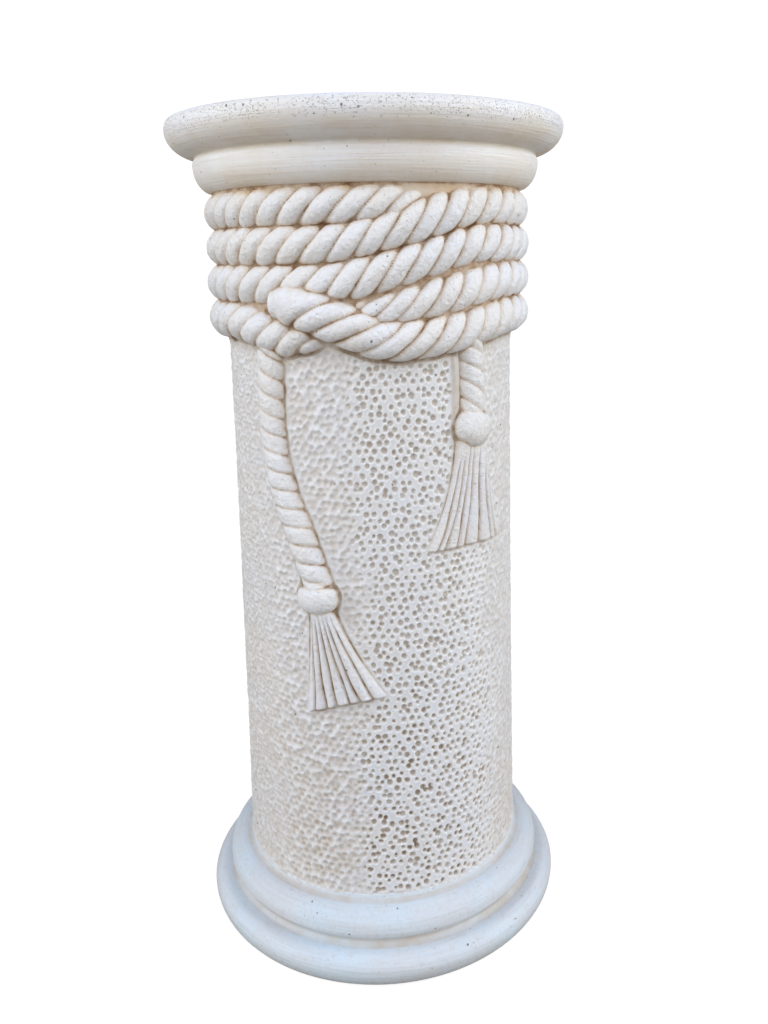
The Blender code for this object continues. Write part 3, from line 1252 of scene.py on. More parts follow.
@dataclass
class Shaft:
    """The pitted shaft, cut into stacked bands so that none has too many faces.

    Attributes:
        columns: Steps round the axis, closer together at the front.
        rows: Number of rows in all bands.
        bands: Number of bands.
        crowding: How much closer the front columns are, as a share.
        low: Height of the first row, inside the base.
        high: Height of the last row, behind the rope.
        shake: How far a pit may lie from the middle of its cell, as a share of the cell.
        size_spread: How much the pits' radii differ, as a share.
        depth_spread: How much their depths differ, as a share.
        rim: Distance of a pit's rim from its wall, and half width of the rim.
        lip: Height of the rims of the round holes.
        warp: How far noise shifts the pits.
        rough: Height of the roughness between them.
        ridge: How far the ridges between dints stand out.
        hand: Most that hand work takes off the surface.
        front_right: Angles between which the round holes begin, and those between which
            they end.
        front: Middle of the front, and how far from it the stipple begins and is full.
        swell: Share of the wide relief by which the surface rises, and the relief at most.
    """

    columns: int = 600
    rows: int = 481
    bands: int = 4
    crowding: float = 0.42
    low: float = 0.0625
    high: float = 0.5735
    shake: float = 0.27
    size_spread: float = 0.26
    depth_spread: float = 0.3
    rim: tuple[float, float] = (0.0005, 0.00055)
    lip: float = 0.00035
    warp: float = 0.0011
    rough: float = 0.00040
    ridge: float = 0.0004
    hand: float = 0.0006
    front_right: tuple[float, float, float, float] = (-17.0, 0.0, 40.0, 62.0)
    front: tuple[float, float, float] = (8.0, 44.0, 66.0)
    swell: tuple[float, float] = (0.35, 0.004)

    def pits(self, style: Pitting, across: Array, up: Array, seed: int) -> tuple[Array, Array, Array]:
        """Round holes, one in each cell of a shaken grid with every other row set over.

        A hole's depth falls from 1 to 0 over its wall, or as 1 less the square of the way
        out where it has none. Its rim is a bell curve just outside the radius.

        Args:
            style: The way of pitting.
            across: Arc length round the column.
            up: Height.
            seed: Seed of the places and sizes.

        Returns:
            Depth in metres, the same as a share, and the rim as a share.
        """
        pitch, radius, depth, wall = style.value
        count = round(GIRTH / pitch)
        pitch, row_pitch = GIRTH / count, pitch * 0.87
        random = np.random.default_rng(seed).uniform(-1.0, 1.0, (4, PIT_ROWS, count))
        v = up / row_pitch
        row = np.floor(v).astype(int)
        share = np.zeros(np.broadcast(across, up).shape)
        rim = np.zeros_like(share)
        deep = np.zeros_like(share)
        for above in (-1, 0, 1):
            line = row + above
            shift = 0.5 * (line % 2)
            u = across / pitch - shift
            column = np.floor(u).astype(int)
            for beside in (-1, 0, 1):
                cell = column + beside
                shake_u, shake_v, size, dig = random[:, line % PIT_ROWS, cell % count]
                du = (u - cell - 0.5 - self.shake * shake_u) * pitch
                dv = (v - line - 0.5 - self.shake * shake_v) * row_pitch
                reach = radius * (1.0 + self.size_spread * size)
                away = np.sqrt(du * du + dv * dv)
                if wall:
                    hole = ramp(reach - away, 0.0, wall)
                else:
                    hole = np.clip(1.0 - (away / reach) ** 2, 0.0, 1.0)
                share = np.maximum(share, hole)
                deep = np.maximum(deep, hole * depth * (1.0 + self.depth_spread * dig))
                bell = np.exp(-(((away - reach - self.rim[0]) / self.rim[1]) ** 2))
                rim = np.maximum(rim, bell)
        return deep, share, rim * (1.0 - share)

    def zones(
        self, angle: Array, across: Array, height: Array
    ) -> tuple[Array, Array, Array, Array]:
        """Where each way of pitting lies, with borders that wander by noise.

        Args:
            angle: Degrees round the shaft.
            across: Arc length round the column.
            height: Height over the floor.

        Returns:
            Shares of the holes at the front right, the dints at the front left and the
            stipple, and how far each point lies on the sides or the back.
        """
        wander = 9.0 * layered_noise(across, height, 0.05, 7)
        start, full, fade, end = self.front_right
        crisp = ramp(angle + wander, start, full) * ramp(angle + wander, end, fade)
        middle, near, far = self.front
        sides = ramp(np.abs(angle - middle) + wander, near, far)
        soft = (1.0 - crisp) * (1.0 - 0.95 * sides)
        fine = (1.0 - crisp) * (0.05 + 0.95 * sides)
        return crisp, soft, fine, sides

    def borders(
        self, carving: Carving, ends: tuple["HangingEnd", ...], angle: Array, height: Array
    ) -> tuple[Array, Array, Array, Array]:
        """What the carving does to the shaft beside it, from a little over the base upwards.

        Args:
            carving: The relief of the rope and its ends.
            ends: The hanging ends, which have a strip of mortar beside them.
            angle: Degrees round the shaft.
            height: Height over the floor.

        Returns:
            Share of the pits' depth that is left, how far the surface swells, how far the
            near relief stands over it, and how much wash lies there.
        """
        plain = shaft_radius(height)
        points = on_column(angle, plain, height)
        stain = carving.masks(points)["stain"]
        above = ramp(height, BASE_TOP + 0.006, BASE_TOP + 0.018)
        rise = above * np.maximum(carving.wide.at(points) - plain, 0.0)
        edge = above * np.maximum(carving.near.at(points) - plain, 0.0)
        calm = ramp(edge, 0.0012, 0.0002)
        calm *= ramp(height, BED_FOOT - 0.002, BED_FOOT - 0.010) * 0.7 + 0.3
        calm *= ramp(height, BASE_TOP + 0.002, BASE_TOP + 0.008)
        strip = np.zeros_like(calm)
        for end in ends:
            proud, washed = end.strip(angle, height)
            strip = strip + proud
            calm = calm * ramp(proud, 0.0008, 0.0002)
            stain = np.maximum(stain, washed)
        share, most = self.swell
        swell = np.maximum(share * np.minimum(rise, most), strip)
        return calm, swell, edge, np.maximum(above * stain, ramp(rise, 0.0008, 0.0050))

    def surface(
        self, carving: Carving, ends: tuple["HangingEnd", ...]
    ) -> tuple[Array, dict[str, Array]]:
        """The turned shaft less its pits, with a swell where the carving rises out of it.

        Args:
            carving: The relief of the rope and its ends.
            ends: The hanging ends, which have a strip of mortar beside them.

        Returns:
            Points over rows and columns, and their masks.
        """
        even = np.linspace(-180.0, 180.0, self.columns, endpoint=False)
        angle = (even - np.degrees(self.crowding) * np.sin(np.radians(even)))[None, :]
        height = np.linspace(self.low, self.high, self.rows)[:, None]
        across = unrolled(angle)
        calm, swell, edge, stain = self.borders(carving, ends, angle, height)
        crisp, soft, fine, sides = self.zones(angle, across, height)
        warp = self.warp * layered_noise(across, height, 0.012, 11, 2)
        deep_crisp, share_crisp, rim_crisp = self.pits(Pitting.HOLED, across + warp, height - warp, 21)
        deep_soft, share_soft, _ = self.pits(Pitting.DINTED, across + warp, height + warp, 22)
        deep_fine, share_fine, _ = self.pits(Pitting.STIPPLED, across - 2 * warp, height + warp, 23)
        depth = crisp * deep_crisp + soft * deep_soft + fine * deep_fine
        rough = self.rough * layered_noise(across, height, 0.0032, 5, 2) * (1.0 - 0.7 * crisp)
        hand = self.hand * (layered_noise(across, height, 0.06, 3) * 0.5 + 0.5)
        radius = shaft_radius(height) - calm * (depth + rough - self.ridge * (soft + fine)) - hand
        radius += self.lip * calm * rim_crisp * crisp
        radius += swell
        broken = layered_noise(across, height, 0.012, 17) * 0.5 + 0.5
        # Wash in the pits, partly painted shade that makes them read deeper. The pits grow darker towards
        # the bottom
        hollow = 0.74 * crisp * share_crisp + 0.60 * soft * share_soft + 0.52 * fine * share_fine
        hollow = hollow * (1.0 + 0.35 * ramp(height, 0.42, 0.10))
        foot = 0.7 * ramp(height, BASE_TOP + 0.010, BASE_TOP + 0.004) * ramp(broken, 0.35, 0.75)
        under = 0.75 * ramp(height, BED_FOOT - 0.020, BED_FOOT - 0.003) * (0.4 + 0.6 * broken)
        # Painted highlight on the ridges between the dints, and on the rims of the round holes
        ridge = 0.6 * (soft * ramp(share_soft, 0.30, 0.0) + fine * ramp(share_fine, 0.30, 0.0))
        masks = {
            "hollow": np.clip(np.maximum(calm * hollow, ramp(edge, 0.0002, 0.0018)), 0.0, 1.0),
            "stain": np.maximum(stain, np.maximum(foot, under)),
            "crest": calm * np.clip(crisp * rim_crisp + ridge, 0.0, 1.0),
            "speckle": 0.25 * sides,
        }
        return on_column(angle, radius, height), masks

    def build(self, carving: Carving, ends: tuple["HangingEnd", ...]) -> list[bpy.types.Object]:
        """Cut the whole surface into bands that share a row and its normals.

        Args:
            carving: The relief of the rope and its ends.
            ends: The hanging ends.

        Returns:
            The bands from below upwards, without their finish.
        """
        points, masks = self.surface(carving, ends)
        normals = grid_normals(points)
        cuts = np.linspace(0, self.rows - 1, self.bands + 1).round().astype(int)
        pieces = []
        for band, (start, end) in enumerate(zip(cuts[:-1], cuts[1:])):
            rows = slice(start, end + 1)
            own = {name: np.broadcast_to(mask, points.shape[:2])[rows] for name, mask in masks.items()}
            pieces.append(make_mesh(f"shaft_band_{band + 1}", points[rows], own, normals[rows]))
        return pieces


# The rope and its hanging ends

# Degrees round a rope's section: how far it shows to either side, and the corners behind
SHOWN_ARC = 104.0
BURIED_ARC = (125.0, 155.0, 205.0, 235.0)

# Number of strands after which their random values repeat
STRAND_SHAKES = 4096

# Waves over the rope, as (height, cell, seed counted from the rope's), and half the step
# that its direction is read over
ROPE_WAVES = ((0.00040, 0.009, 5), (0.00022, 0.0034, 6))
HALF_STEP = 0.002


@dataclass
class LaidRope:
    """A laid rope, carried along a path on the column.

    Attributes:
        name: The piece's name.
        centres: Centre line points, about half a millimetre apart.
        radii: The rope's radius at each of them.
        lay: Length in which a strand goes once round.
        strands: Number of strands.
        groove: Depth of the grooves between them.
        spacing: Distance between rings of the mesh at the front.
        front: Corners of a ring that show.
        seed: Seed of its unevenness.
        crowding: How much closer the rings are at the front.
        fullness: Power that flattens the strands and narrows the grooves.
        fading: Power by which the grooves grow shallow towards the sides.
        head: Length at the start that has no grooves.
        slants: (angle round the column, share of the usual slant) pairs for the grooves.
        shake: How much the grooves' depths differ, as a share.
        bulge: Most that one strand stands out more than another.
    """

    name: str
    centres: Array
    radii: Array
    lay: float
    strands: int
    groove: float
    spacing: float
    front: int = 32
    seed: int = 1
    crowding: float = 0.0
    fullness: float = 2.9
    fading: float = 1.0
    head: float = 0.0
    slants: Pairs = ((-180.0, 1.0), (180.0, 1.0))
    shake: float = 0.15
    bulge: float = 0.00045

    def places(self, run: Array) -> Array:
        """Choose where the rings stand, closer together at the front.

        Args:
            run: Length along the rope at each point of its centre line.

        Returns:
            The lengths at which the rings stand, as a column.
        """
        facing = -self.centres[:, 1] / np.linalg.norm(self.centres[:, :2], axis=-1)
        cost = np.gradient(run) / (self.spacing * (1.0 + self.crowding * (1.0 - facing)))
        count = np.append(0.0, np.cumsum(cost[1:]))
        return np.interp(np.linspace(0.0, count[-1], int(count[-1]) + 1), count, run)[:, None]

    def surface(self) -> tuple[Array, Array]:
        """Rings of the rope.

        At s along the rope and angle a round it, the share across a strand is
        t = (s - a * lay / 360) / (lay / strands), less its whole part. The radius is the
        rope's, less the groove's depth times |2t - 1| to a power, which gives round
        strands with a narrow groove between them.

        Returns:
            Points over rings and corners, of which the first show and the rest are
            buried, and how close each one is to the bottom of a groove.
        """
        run = run_along(self.centres)
        place = self.places(run)
        section = np.append(np.linspace(-SHOWN_ARC, SHOWN_ARC, self.front), BURIED_ARC)[None, :]
        turn = np.radians(section)
        centre = points_at(self.centres, run, place)
        outward = centre * (1.0, 1.0, 0.0)
        outward /= np.linalg.norm(outward, axis=-1, keepdims=True)
        ahead, behind = (points_at(self.centres, run, place + step) for step in (HALF_STEP, -HALF_STEP))
        along = ahead - behind
        sideways = np.cross(outward, along)
        sideways /= np.linalg.norm(sideways, axis=-1, keepdims=True)
        radius = np.interp(place, run, self.radii)
        bearing = np.degrees(np.arctan2(centre[..., 0], -centre[..., 1]))
        slant = section * self.lay / 360.0 * eased(self.slants, bearing)
        strand = (place - slant) / (self.lay / self.strands)
        number = np.floor(strand).astype(int)
        share = strand - number
        random = np.random.default_rng(self.seed).uniform(-1.0, 1.0, (3, STRAND_SHAKES))
        own, last = number % STRAND_SHAKES, (number - 1) % STRAND_SHAKES
        shake = random[0, own] * share + random[0, last] * (1.0 - share)
        bulge = random[1, own] * np.sin(math.pi * share) ** 2
        lobe = np.abs(2.0 * share - 1.0) ** self.fullness
        scale = radius / self.radii.max()
        depth = self.groove * (1.0 + self.shake * shake) * scale
        depth = depth * np.clip(np.cos(turn), 0.0, 1.0) ** self.fading
        if self.head > 0.0:
            depth = depth * ramp(place - section * self.lay / 720.0, 0.7 * self.head, self.head)
        round_ = 0.014 * turn + 0.3
        wave = sum(
            height * value_noise(place, round_, cell, self.seed + offset)
            for height, cell, offset in ROPE_WAVES
        )
        reach = np.maximum(radius - depth * lobe + self.bulge * bulge * scale + wave, 0.25 * radius)
        reach = np.where(np.cos(turn) > -0.3, reach, 0.9 * radius)
        across, out = reach * np.sin(turn), reach * np.cos(turn)
        line = ramp(np.abs(2.0 * share - 1.0), 0.80, 0.98) * depth / self.groove
        return centre + sideways * across[..., None] + outward * out[..., None], line

    def build(self, carving: Carving) -> bpy.types.Object:
        """Make the mesh with its masks.

        Args:
            carving: The relief that gives the masks.

        Returns:
            The piece, without its finish.
        """
        points, line = self.surface()
        masks = carving.masks(points)
        masks["hollow"] = np.maximum(masks["hollow"], 0.75 * line)
        masks["speckle"] = np.zeros(points.shape[:2])
        if self.turned(points):
            points = points[:, ::-1]
            masks = {name: mask[:, ::-1] for name, mask in masks.items()}
        return make_mesh(self.name, points, masks)

    @staticmethod
    def turned(points: Array) -> bool:
        """Find which way the rings go round.

        Args:
            points: Points over rings and corners.

        Returns:
            True if it is the wrong way, so that the faces would look inwards.
        """
        ring, after = points[len(points) // 2], points[len(points) // 2 + 1]
        middle = ring.mean(axis=0)
        normal = np.cross(np.roll(ring, -1, axis=0) - ring, after - ring)
        return float(((ring - middle) * normal).sum()) < 0.0


# The two wound ropes, as (angle, value) pairs: levels in turns down from the lowest one,
# sizes as shares of the radius, and lifts as shares of the loop's lift
LONG_START: Pairs = ((-12.0, -0.22), (62.0, -1.0))
LONG_CROSSING = (-19.0, 46.0)
LONG_END: Pairs = ((-8.0, 0.0), (24.0, -0.14))
LONG_SIZES_IN: Pairs = ((-14.0, 0.30), (-1.0, 0.70), (14.0, 0.90), (30.0, 1.0))
LONG_SIZES_OUT: Pairs = ((4.0, 1.0), (23.0, 0.50))
LONG_LIFTS: Pairs = ((-14.0, 0.0), (716.0, 0.0), (738.0, 0.32), (765.0, 0.0), (1104.0, 0.0))
LOOP_LEVELS: Pairs = (
    (-31.0, -0.5), (9.0, 0.505), (66.0, 0.0), (302.0, 0.0), (333.0, 0.38), (347.0, 0.52),
)
LOOP_SIZES: Pairs = (
    (-36.5, 0.30), (-33.5, 0.80), (-27.0, 1.03), (0.0, 1.0), (329.0, 1.0), (336.0, 0.78), (347.0, 0.35),
)
LOOP_LIFTS: Pairs = ((-36.5, 0.6), (-20.0, 1.0), (6.0, 0.0), (336.0, 0.0), (348.0, -0.8))
LOOP_LIFT = 0.0075
ROPE_SLANTS: Pairs = (
    (-180.0, 0.9), (-60.0, 0.95), (-15.0, 1.2), (10.0, 1.5), (42.0, 0.9), (60.0, 0.75), (180.0, 0.9),
)


@dataclass
class WoundRope:
    """The rope wound four turns under the cap and tied in a loop at the front.

    Attributes:
        lay: Length in which a strand goes once round.
        groove: Depth of the grooves.
        spacing: Distance between rings of the mesh at the front.
        fuller: How much wider the rope is than in the part's source.
        head: Length of the loop's bare end.
    """

    lay: float = 0.0615
    groove: float = 0.0044
    spacing: float = 0.00092
    fuller: float = 0.0013
    head: float = 0.036

    @staticmethod
    def long_levels() -> Pairs:
        """Levels of the long rope, which goes up by one turn at each crossing.

        Returns:
            (angle, turns down from the lowest one) pairs.
        """
        levels = list(LONG_START)
        for turn in range(1, LAST_LEVEL):
            levels.append((360.0 * turn + LONG_CROSSING[0], -turn))
            levels.append((360.0 * turn + LONG_CROSSING[1], -turn - 1.0))
        levels.extend((360.0 * LAST_LEVEL + angle, rise - LAST_LEVEL) for angle, rise in LONG_END)
        return tuple(levels)

    def rope(
        self, name: str, levels: Pairs, sizes: Pairs, lifts: Pairs, seed: int, head: float = 0.0
    ) -> LaidRope:
        """Lay one rope round the shaft.

        Args:
            name: The piece's name.
            levels: (angle, turns down from the lowest one) pairs.
            sizes: (angle, share of the radius) pairs.
            lifts: (angle, share of the loop's lift) pairs.
            seed: Seed of its unevenness.
            head: Length at the start that has no grooves.

        Returns:
            The rope.
        """
        angle = np.arange(sizes[0][0], sizes[-1][0], math.degrees(0.0005 / ROPE_CENTRE_RADIUS))
        height = LOW_TURN - ROPE_TURN_SPACING * eased(levels, angle)
        radius = ROPE_CENTRE_RADIUS - self.fuller + LOOP_LIFT * eased(lifts, angle)
        centres = on_column(angle, radius, height)
        return LaidRope(
            name,
            centres,
            radii=(ROPE_RADIUS + self.fuller) * eased(sizes, angle),
            lay=self.lay,
            strands=3,
            groove=self.groove,
            spacing=self.spacing,
            seed=seed,
            crowding=0.35,
            head=head,
            slants=ROPE_SLANTS,
        )

    def ropes(self) -> list[LaidRope]:
        """Lay both ropes.

        Returns:
            The long rope, and the one that ends in the loop.
        """
        out = tuple((360.0 * LAST_LEVEL + angle, size) for angle, size in LONG_SIZES_OUT)
        return [
            self.rope("long_rope", self.long_levels(), (*LONG_SIZES_IN, *out), LONG_LIFTS, 41),
            self.rope("loop_rope", LOOP_LEVELS, LOOP_SIZES, LOOP_LIFTS, 42, self.head),
        ]


# Grid sizes of the knob and the fringe
KNOB_RINGS, KNOB_CORNERS = 30, 48
FRINGE_ROWS, FRINGE_CORNERS = 110, 84


@dataclass
class HangingEnd:
    """A rope end that hangs down the shaft, with its knob and fringe.

    Attributes:
        name: First word of its pieces' names.
        length: Length of the rope down to the knob.
        route: (share of the length, angle) pairs.
        fringe_length: Length of the fringe.
        fringe: Top left, top right, lower left and lower right corners, each as (share of
            the fringe's length, angle), counted from the knob.
        ridges: Places across the fringe, from 0 to 1, where its grooves run.
        tilt: Lean of the knob in degrees.
        flare: Power of the way down by which the fringe opens.
        sag: Share of its length by which the middle of its foot lies higher than the corners.
        strands: Number of strands of the rope.
        seed: Seed of its unevenness.
        radius: Radius of the rope.
        sink: How deep its middle lies in the shaft.
        strand_width: Width of a strand along the rope.
        groove: Depth of its grooves.
        knob_size: Half width, depth and half height of the knob.
        crown: Height of the knob's upper half, as a share of the lower one.
        relief: How far the fringe stands out.
        fringe_groove: Depth of its grooves at 0.6 of the way down.
        fringe_shake: How much the heights of its strands differ.
        fringe_sink: How deep its back lies in the shaft.
        margin: Side of the flat strip beside the rope, its rise and its stain.
        overlap: How far the rope runs on into the knob.
    """

    name: str
    length: float
    route: Pairs
    fringe_length: float
    fringe: Pairs
    ridges: tuple[float, ...]
    tilt: float
    flare: float
    sag: float
    strands: int
    seed: int
    radius: float = 0.0146
    sink: float = 0.004
    strand_width: float = 0.0165
    groove: float = 0.0024
    knob_size: tuple[float, float, float] = (0.0190, 0.014, 0.0150)
    crown: float = 0.75
    relief: float = 0.0075
    fringe_groove: float = 0.0044
    fringe_shake: float = 0.0011
    fringe_sink: float = 0.005
    margin: tuple[float, float, float] = (1.0, 0.0004, 0.15)
    overlap: float = 0.008

    def rope(self) -> LaidRope:
        """Lay the rope down its route and a little way on into the knob.

        Returns:
            The rope.
        """
        last = 1.0 + self.overlap / self.length
        share = np.linspace(0.0, last, round(last * self.length / 0.0005) + 1)
        height = TAIL_TOP - share * self.length
        centres = on_column(curve_through(self.route, share), shaft_radius(height) - self.sink, height)
        return LaidRope(
            f"{self.name}_tail",
            centres,
            radii=np.full(len(share), self.radius),
            lay=self.strand_width * self.strands,
            strands=self.strands,
            groove=self.groove,
            spacing=0.0008,
            front=28,
            seed=self.seed,
            fullness=5.0,
            fading=0.5,
        )

    def strip(self, angle: Array, height: Array) -> tuple[Array, Array]:
        """A flat strip of mortar along one side of the rope.

        It is full out to 4.5 mm from the rope's edge and gone at 8.5 mm.

        Args:
            angle: Degrees round the shaft.
            height: Height over the floor.

        Returns:
            How far the strip stands out, and its stain.
        """
        side, rise, stain = self.margin
        share = (TAIL_TOP - height) / self.length
        middle = curve_through(self.route, np.clip(share, 0.0, 1.0))
        away = np.radians(side * (angle - middle)) * SHAFT_RADIUS - self.radius
        band = ramp(away, -0.004, 0.0015) * ramp(away, 0.0085, 0.0045)
        band = band * ramp(share, -0.1, 0.0) * ramp(share, 1.25, 0.95)
        return rise * band, stain * band

    def knob_place(self) -> tuple[float, float]:
        """Angle and height of the knob's middle."""
        return self.route[-1][1], TAIL_TOP - self.length - 0.8 * self.knob_size[2]

    def knob_surface(self) -> Array:
        """A head with a flat crown and a round chin, swollen by noise and leaned by the tilt.

        At u up and a round it, it is cos(u)^p * cos(a) wide, cos(u)^p * sin(a) deep and
        sin(u)^q high, times its sizes, with smaller p and q over the middle than below.

        Returns:
            Points over rings and corners.
        """
        angle, height = self.knob_place()
        up = np.radians(np.linspace(-87.0, 87.0, KNOB_RINGS))[:, None]
        round_ = np.radians(np.linspace(0.0, 360.0, KNOB_CORNERS, endpoint=False))[None, :]
        swell = 1.0 + 0.02 * value_noise(round_ * 0.03, up * 0.02 + 0.2, 0.02, self.seed + 3)
        wide, deep, tall = self.knob_size
        girth = np.cos(up) ** np.where(up > 0.0, 0.55, 0.85)
        level = np.sign(up) * np.abs(np.sin(up)) ** np.where(up > 0.0, 0.75, 1.0)
        x = wide * girth * np.cos(round_) * swell
        y = deep * girth * np.sin(round_) * swell
        z = tall * np.where(up > 0.0, self.crown, 1.0) * level * swell * np.ones_like(round_)
        lean = math.radians(self.tilt)
        x, z = x * math.cos(lean) - z * math.sin(lean), x * math.sin(lean) + z * math.cos(lean)
        local = np.stack(np.broadcast_arrays(x, y, z), axis=-1)
        turn = np.array(Matrix.Rotation(math.radians(angle), 3, "Z"))
        middle = on_column(np.array(angle), shaft_radius(np.array(height)), np.array(height))
        return local @ turn.T + middle

    def fringe_surface(self) -> tuple[Array, Array]:
        """The fringe as rows down and corners across, with the buried back behind.

        Corners spread from the narrow top to the wide foot, at angles that open by the
        way down to the power of the flare. The relief is a low arch with a round ridge
        between grooves, which deepen downwards, and it turns in at the foot by a quarter
        circle.

        Returns:
            Points over rows and corners, and how much wash each one takes: in the grooves, and as painted
            shade along the foot that turns in.
        """
        angle, height = self.knob_place()
        down = np.linspace(0.0, 1.0, FRINGE_ROWS)[:, None]
        across = np.linspace(0.0, 1.0, FRINGE_CORNERS)[None, :]
        lip = ramp(down, 0.975, 1.0)
        top_left, top_right, low_left, low_right = (np.array(corner) for corner in self.fringe)
        top = top_left[:, None] + (top_right - top_left)[:, None] * across
        low = low_left[:, None] + (low_right - low_left)[:, None] * across
        drop = top[0] + (low[0] - top[0]) * down
        turn = angle + top[1] + (low[1] - top[1]) * down**self.flare
        drop = drop - self.sag * 4.0 * across * (1.0 - across) * down
        edge = np.array((0.0, *self.ridges, 1.0))
        wander = across + 0.012 * np.sin(9.0 * down + 30.0 * across) * down
        strand, share = step_shares(edge, wander)
        valley = np.abs(2.0 * share - 1.0) ** 3.0
        random = np.random.default_rng(self.seed).uniform(0.0, 1.0, (2, len(edge)))
        begins = 0.22 * random[0, strand] * (0.3 + 0.7 * random[1, strand])
        valley = valley * ramp(down, begins, begins + 0.2)
        arch = (1.0 - 0.3 * down) * (1.0 - np.abs(2.0 * across - 1.0) ** 5)
        groove = self.fringe_groove * (0.55 + 0.75 * down)
        proud = self.fringe_shake * (random[1, strand] - 0.5) * (1.0 - valley) * down
        relief = np.maximum(self.relief * arch - groove * valley * (0.2 + 0.8 * arch) + proud, 0.0)
        relief = relief * np.sqrt(np.clip(1.0 - lip**2, 0.0, 1.0)) - 0.002 * lip - 0.0006
        level = height - drop * self.fringe_length - 0.0012 * lip
        front = on_column(turn, shaft_radius(level) + relief, level)
        back = on_column(turn, shaft_radius(level) - self.fringe_sink, level)[:, ::-4]
        points = np.concatenate([front, back], axis=1)
        # Wash in the grooves, stronger lower down, and painted shade on the foot that turns in
        washed = np.maximum(ramp(valley, 0.25, 0.95) * (0.5 + 0.5 * down), lip)
        depth = np.concatenate([washed, np.zeros(back.shape[:2])], axis=1)
        return points[::-1], depth[::-1]

    def surfaces(self) -> dict[str, tuple[Array, Array]]:
        """Work out the knob and the fringe.

        Returns:
            Points and wash masks, by the names of the pieces. The fringe's mask holds painted shade along
            its foot.
        """
        knob = self.knob_surface()
        return {
            f"{self.name}_knob": (knob, np.zeros(knob.shape[:2])),
            f"{self.name}_fringe": self.fringe_surface(),
        }

    def build(self, carving: Carving) -> list[bpy.types.Object]:
        """Make the meshes of the knob and the fringe with their masks.

        Args:
            carving: The relief that gives the masks.

        Returns:
            The pieces, without their finish.
        """
        pieces = []
        for name, (points, depth) in self.surfaces().items():
            masks = carving.masks(points)
            # The hollow mask takes the fringe's painted shade along its foot as well
            masks["hollow"] = np.maximum(masks["hollow"], depth)
            masks["speckle"] = np.zeros(points.shape[:2])
            pieces.append(make_mesh(name, points, masks))
        return pieces


LEFT_END = HangingEnd(
    "left",
    0.212,
    ((0.0, -38.8), (0.19, -40.0), (0.39, -39.9), (0.59, -36.6), (0.79, -29.6), (1.0, -22.6)),
    0.110,
    ((0.06, -3.6), (0.06, 6.2), (1.0, -7.2), (0.81, 26.4)),
    ridges=(0.13, 0.27, 0.41, 0.55, 0.66, 0.82),
    tilt=4.0,
    flare=1.3,
    sag=0.035,
    strands=2,
    seed=51,
)
RIGHT_END = HangingEnd(
    "right",
    0.071,
    ((0.0, 38.0), (0.55, 39.8), (1.0, 39.4)),
    0.104,
    ((0.04, -8.0), (0.14, 9.0), (1.0, -21.5), (1.02, 19.5)),
    ridges=(0.12, 0.20, 0.31, 0.42, 0.60, 0.77, 0.88),
    tilt=-24.0,
    flare=1.75,
    sag=0.02,
    strands=3,
    seed=52,
    knob_size=(0.0200, 0.0145, 0.0165),
    crown=0.95,
    margin=(-1.0, 0.0026, 0.75),
)


# The studio


@dataclass(frozen=True)
class Lamp:
    """A square soft light.

    Attributes:
        name: Its name.
        place: Where it hangs.
        size: Side of the square.
        power: Watts of red, green and blue.
    """

    name: str
    place: tuple[float, float, float]
    size: float
    power: tuple[float, float, float]


COLUMN_MIDDLE = (0.0, 0.0, 0.38)
LAMPS = (
    Lamp("front_sky", (0.0, -1.5, 2.6), 1.6, (12.0, 13.2, 15.6)),
    Lamp("left_sky", (-2.2, -0.7, 1.5), 1.4, (20.5, 21.5, 22.5)),
    Lamp("right_sky", (2.2, -0.5, 1.5), 1.4, (23.5, 24.5, 25.5)),
)

# Light that the air gives from the sides and from above, in red, green and blue
HORIZON = (1.31, 1.30, 1.32)
ZENITH = (0.02, 0.08, 0.26)


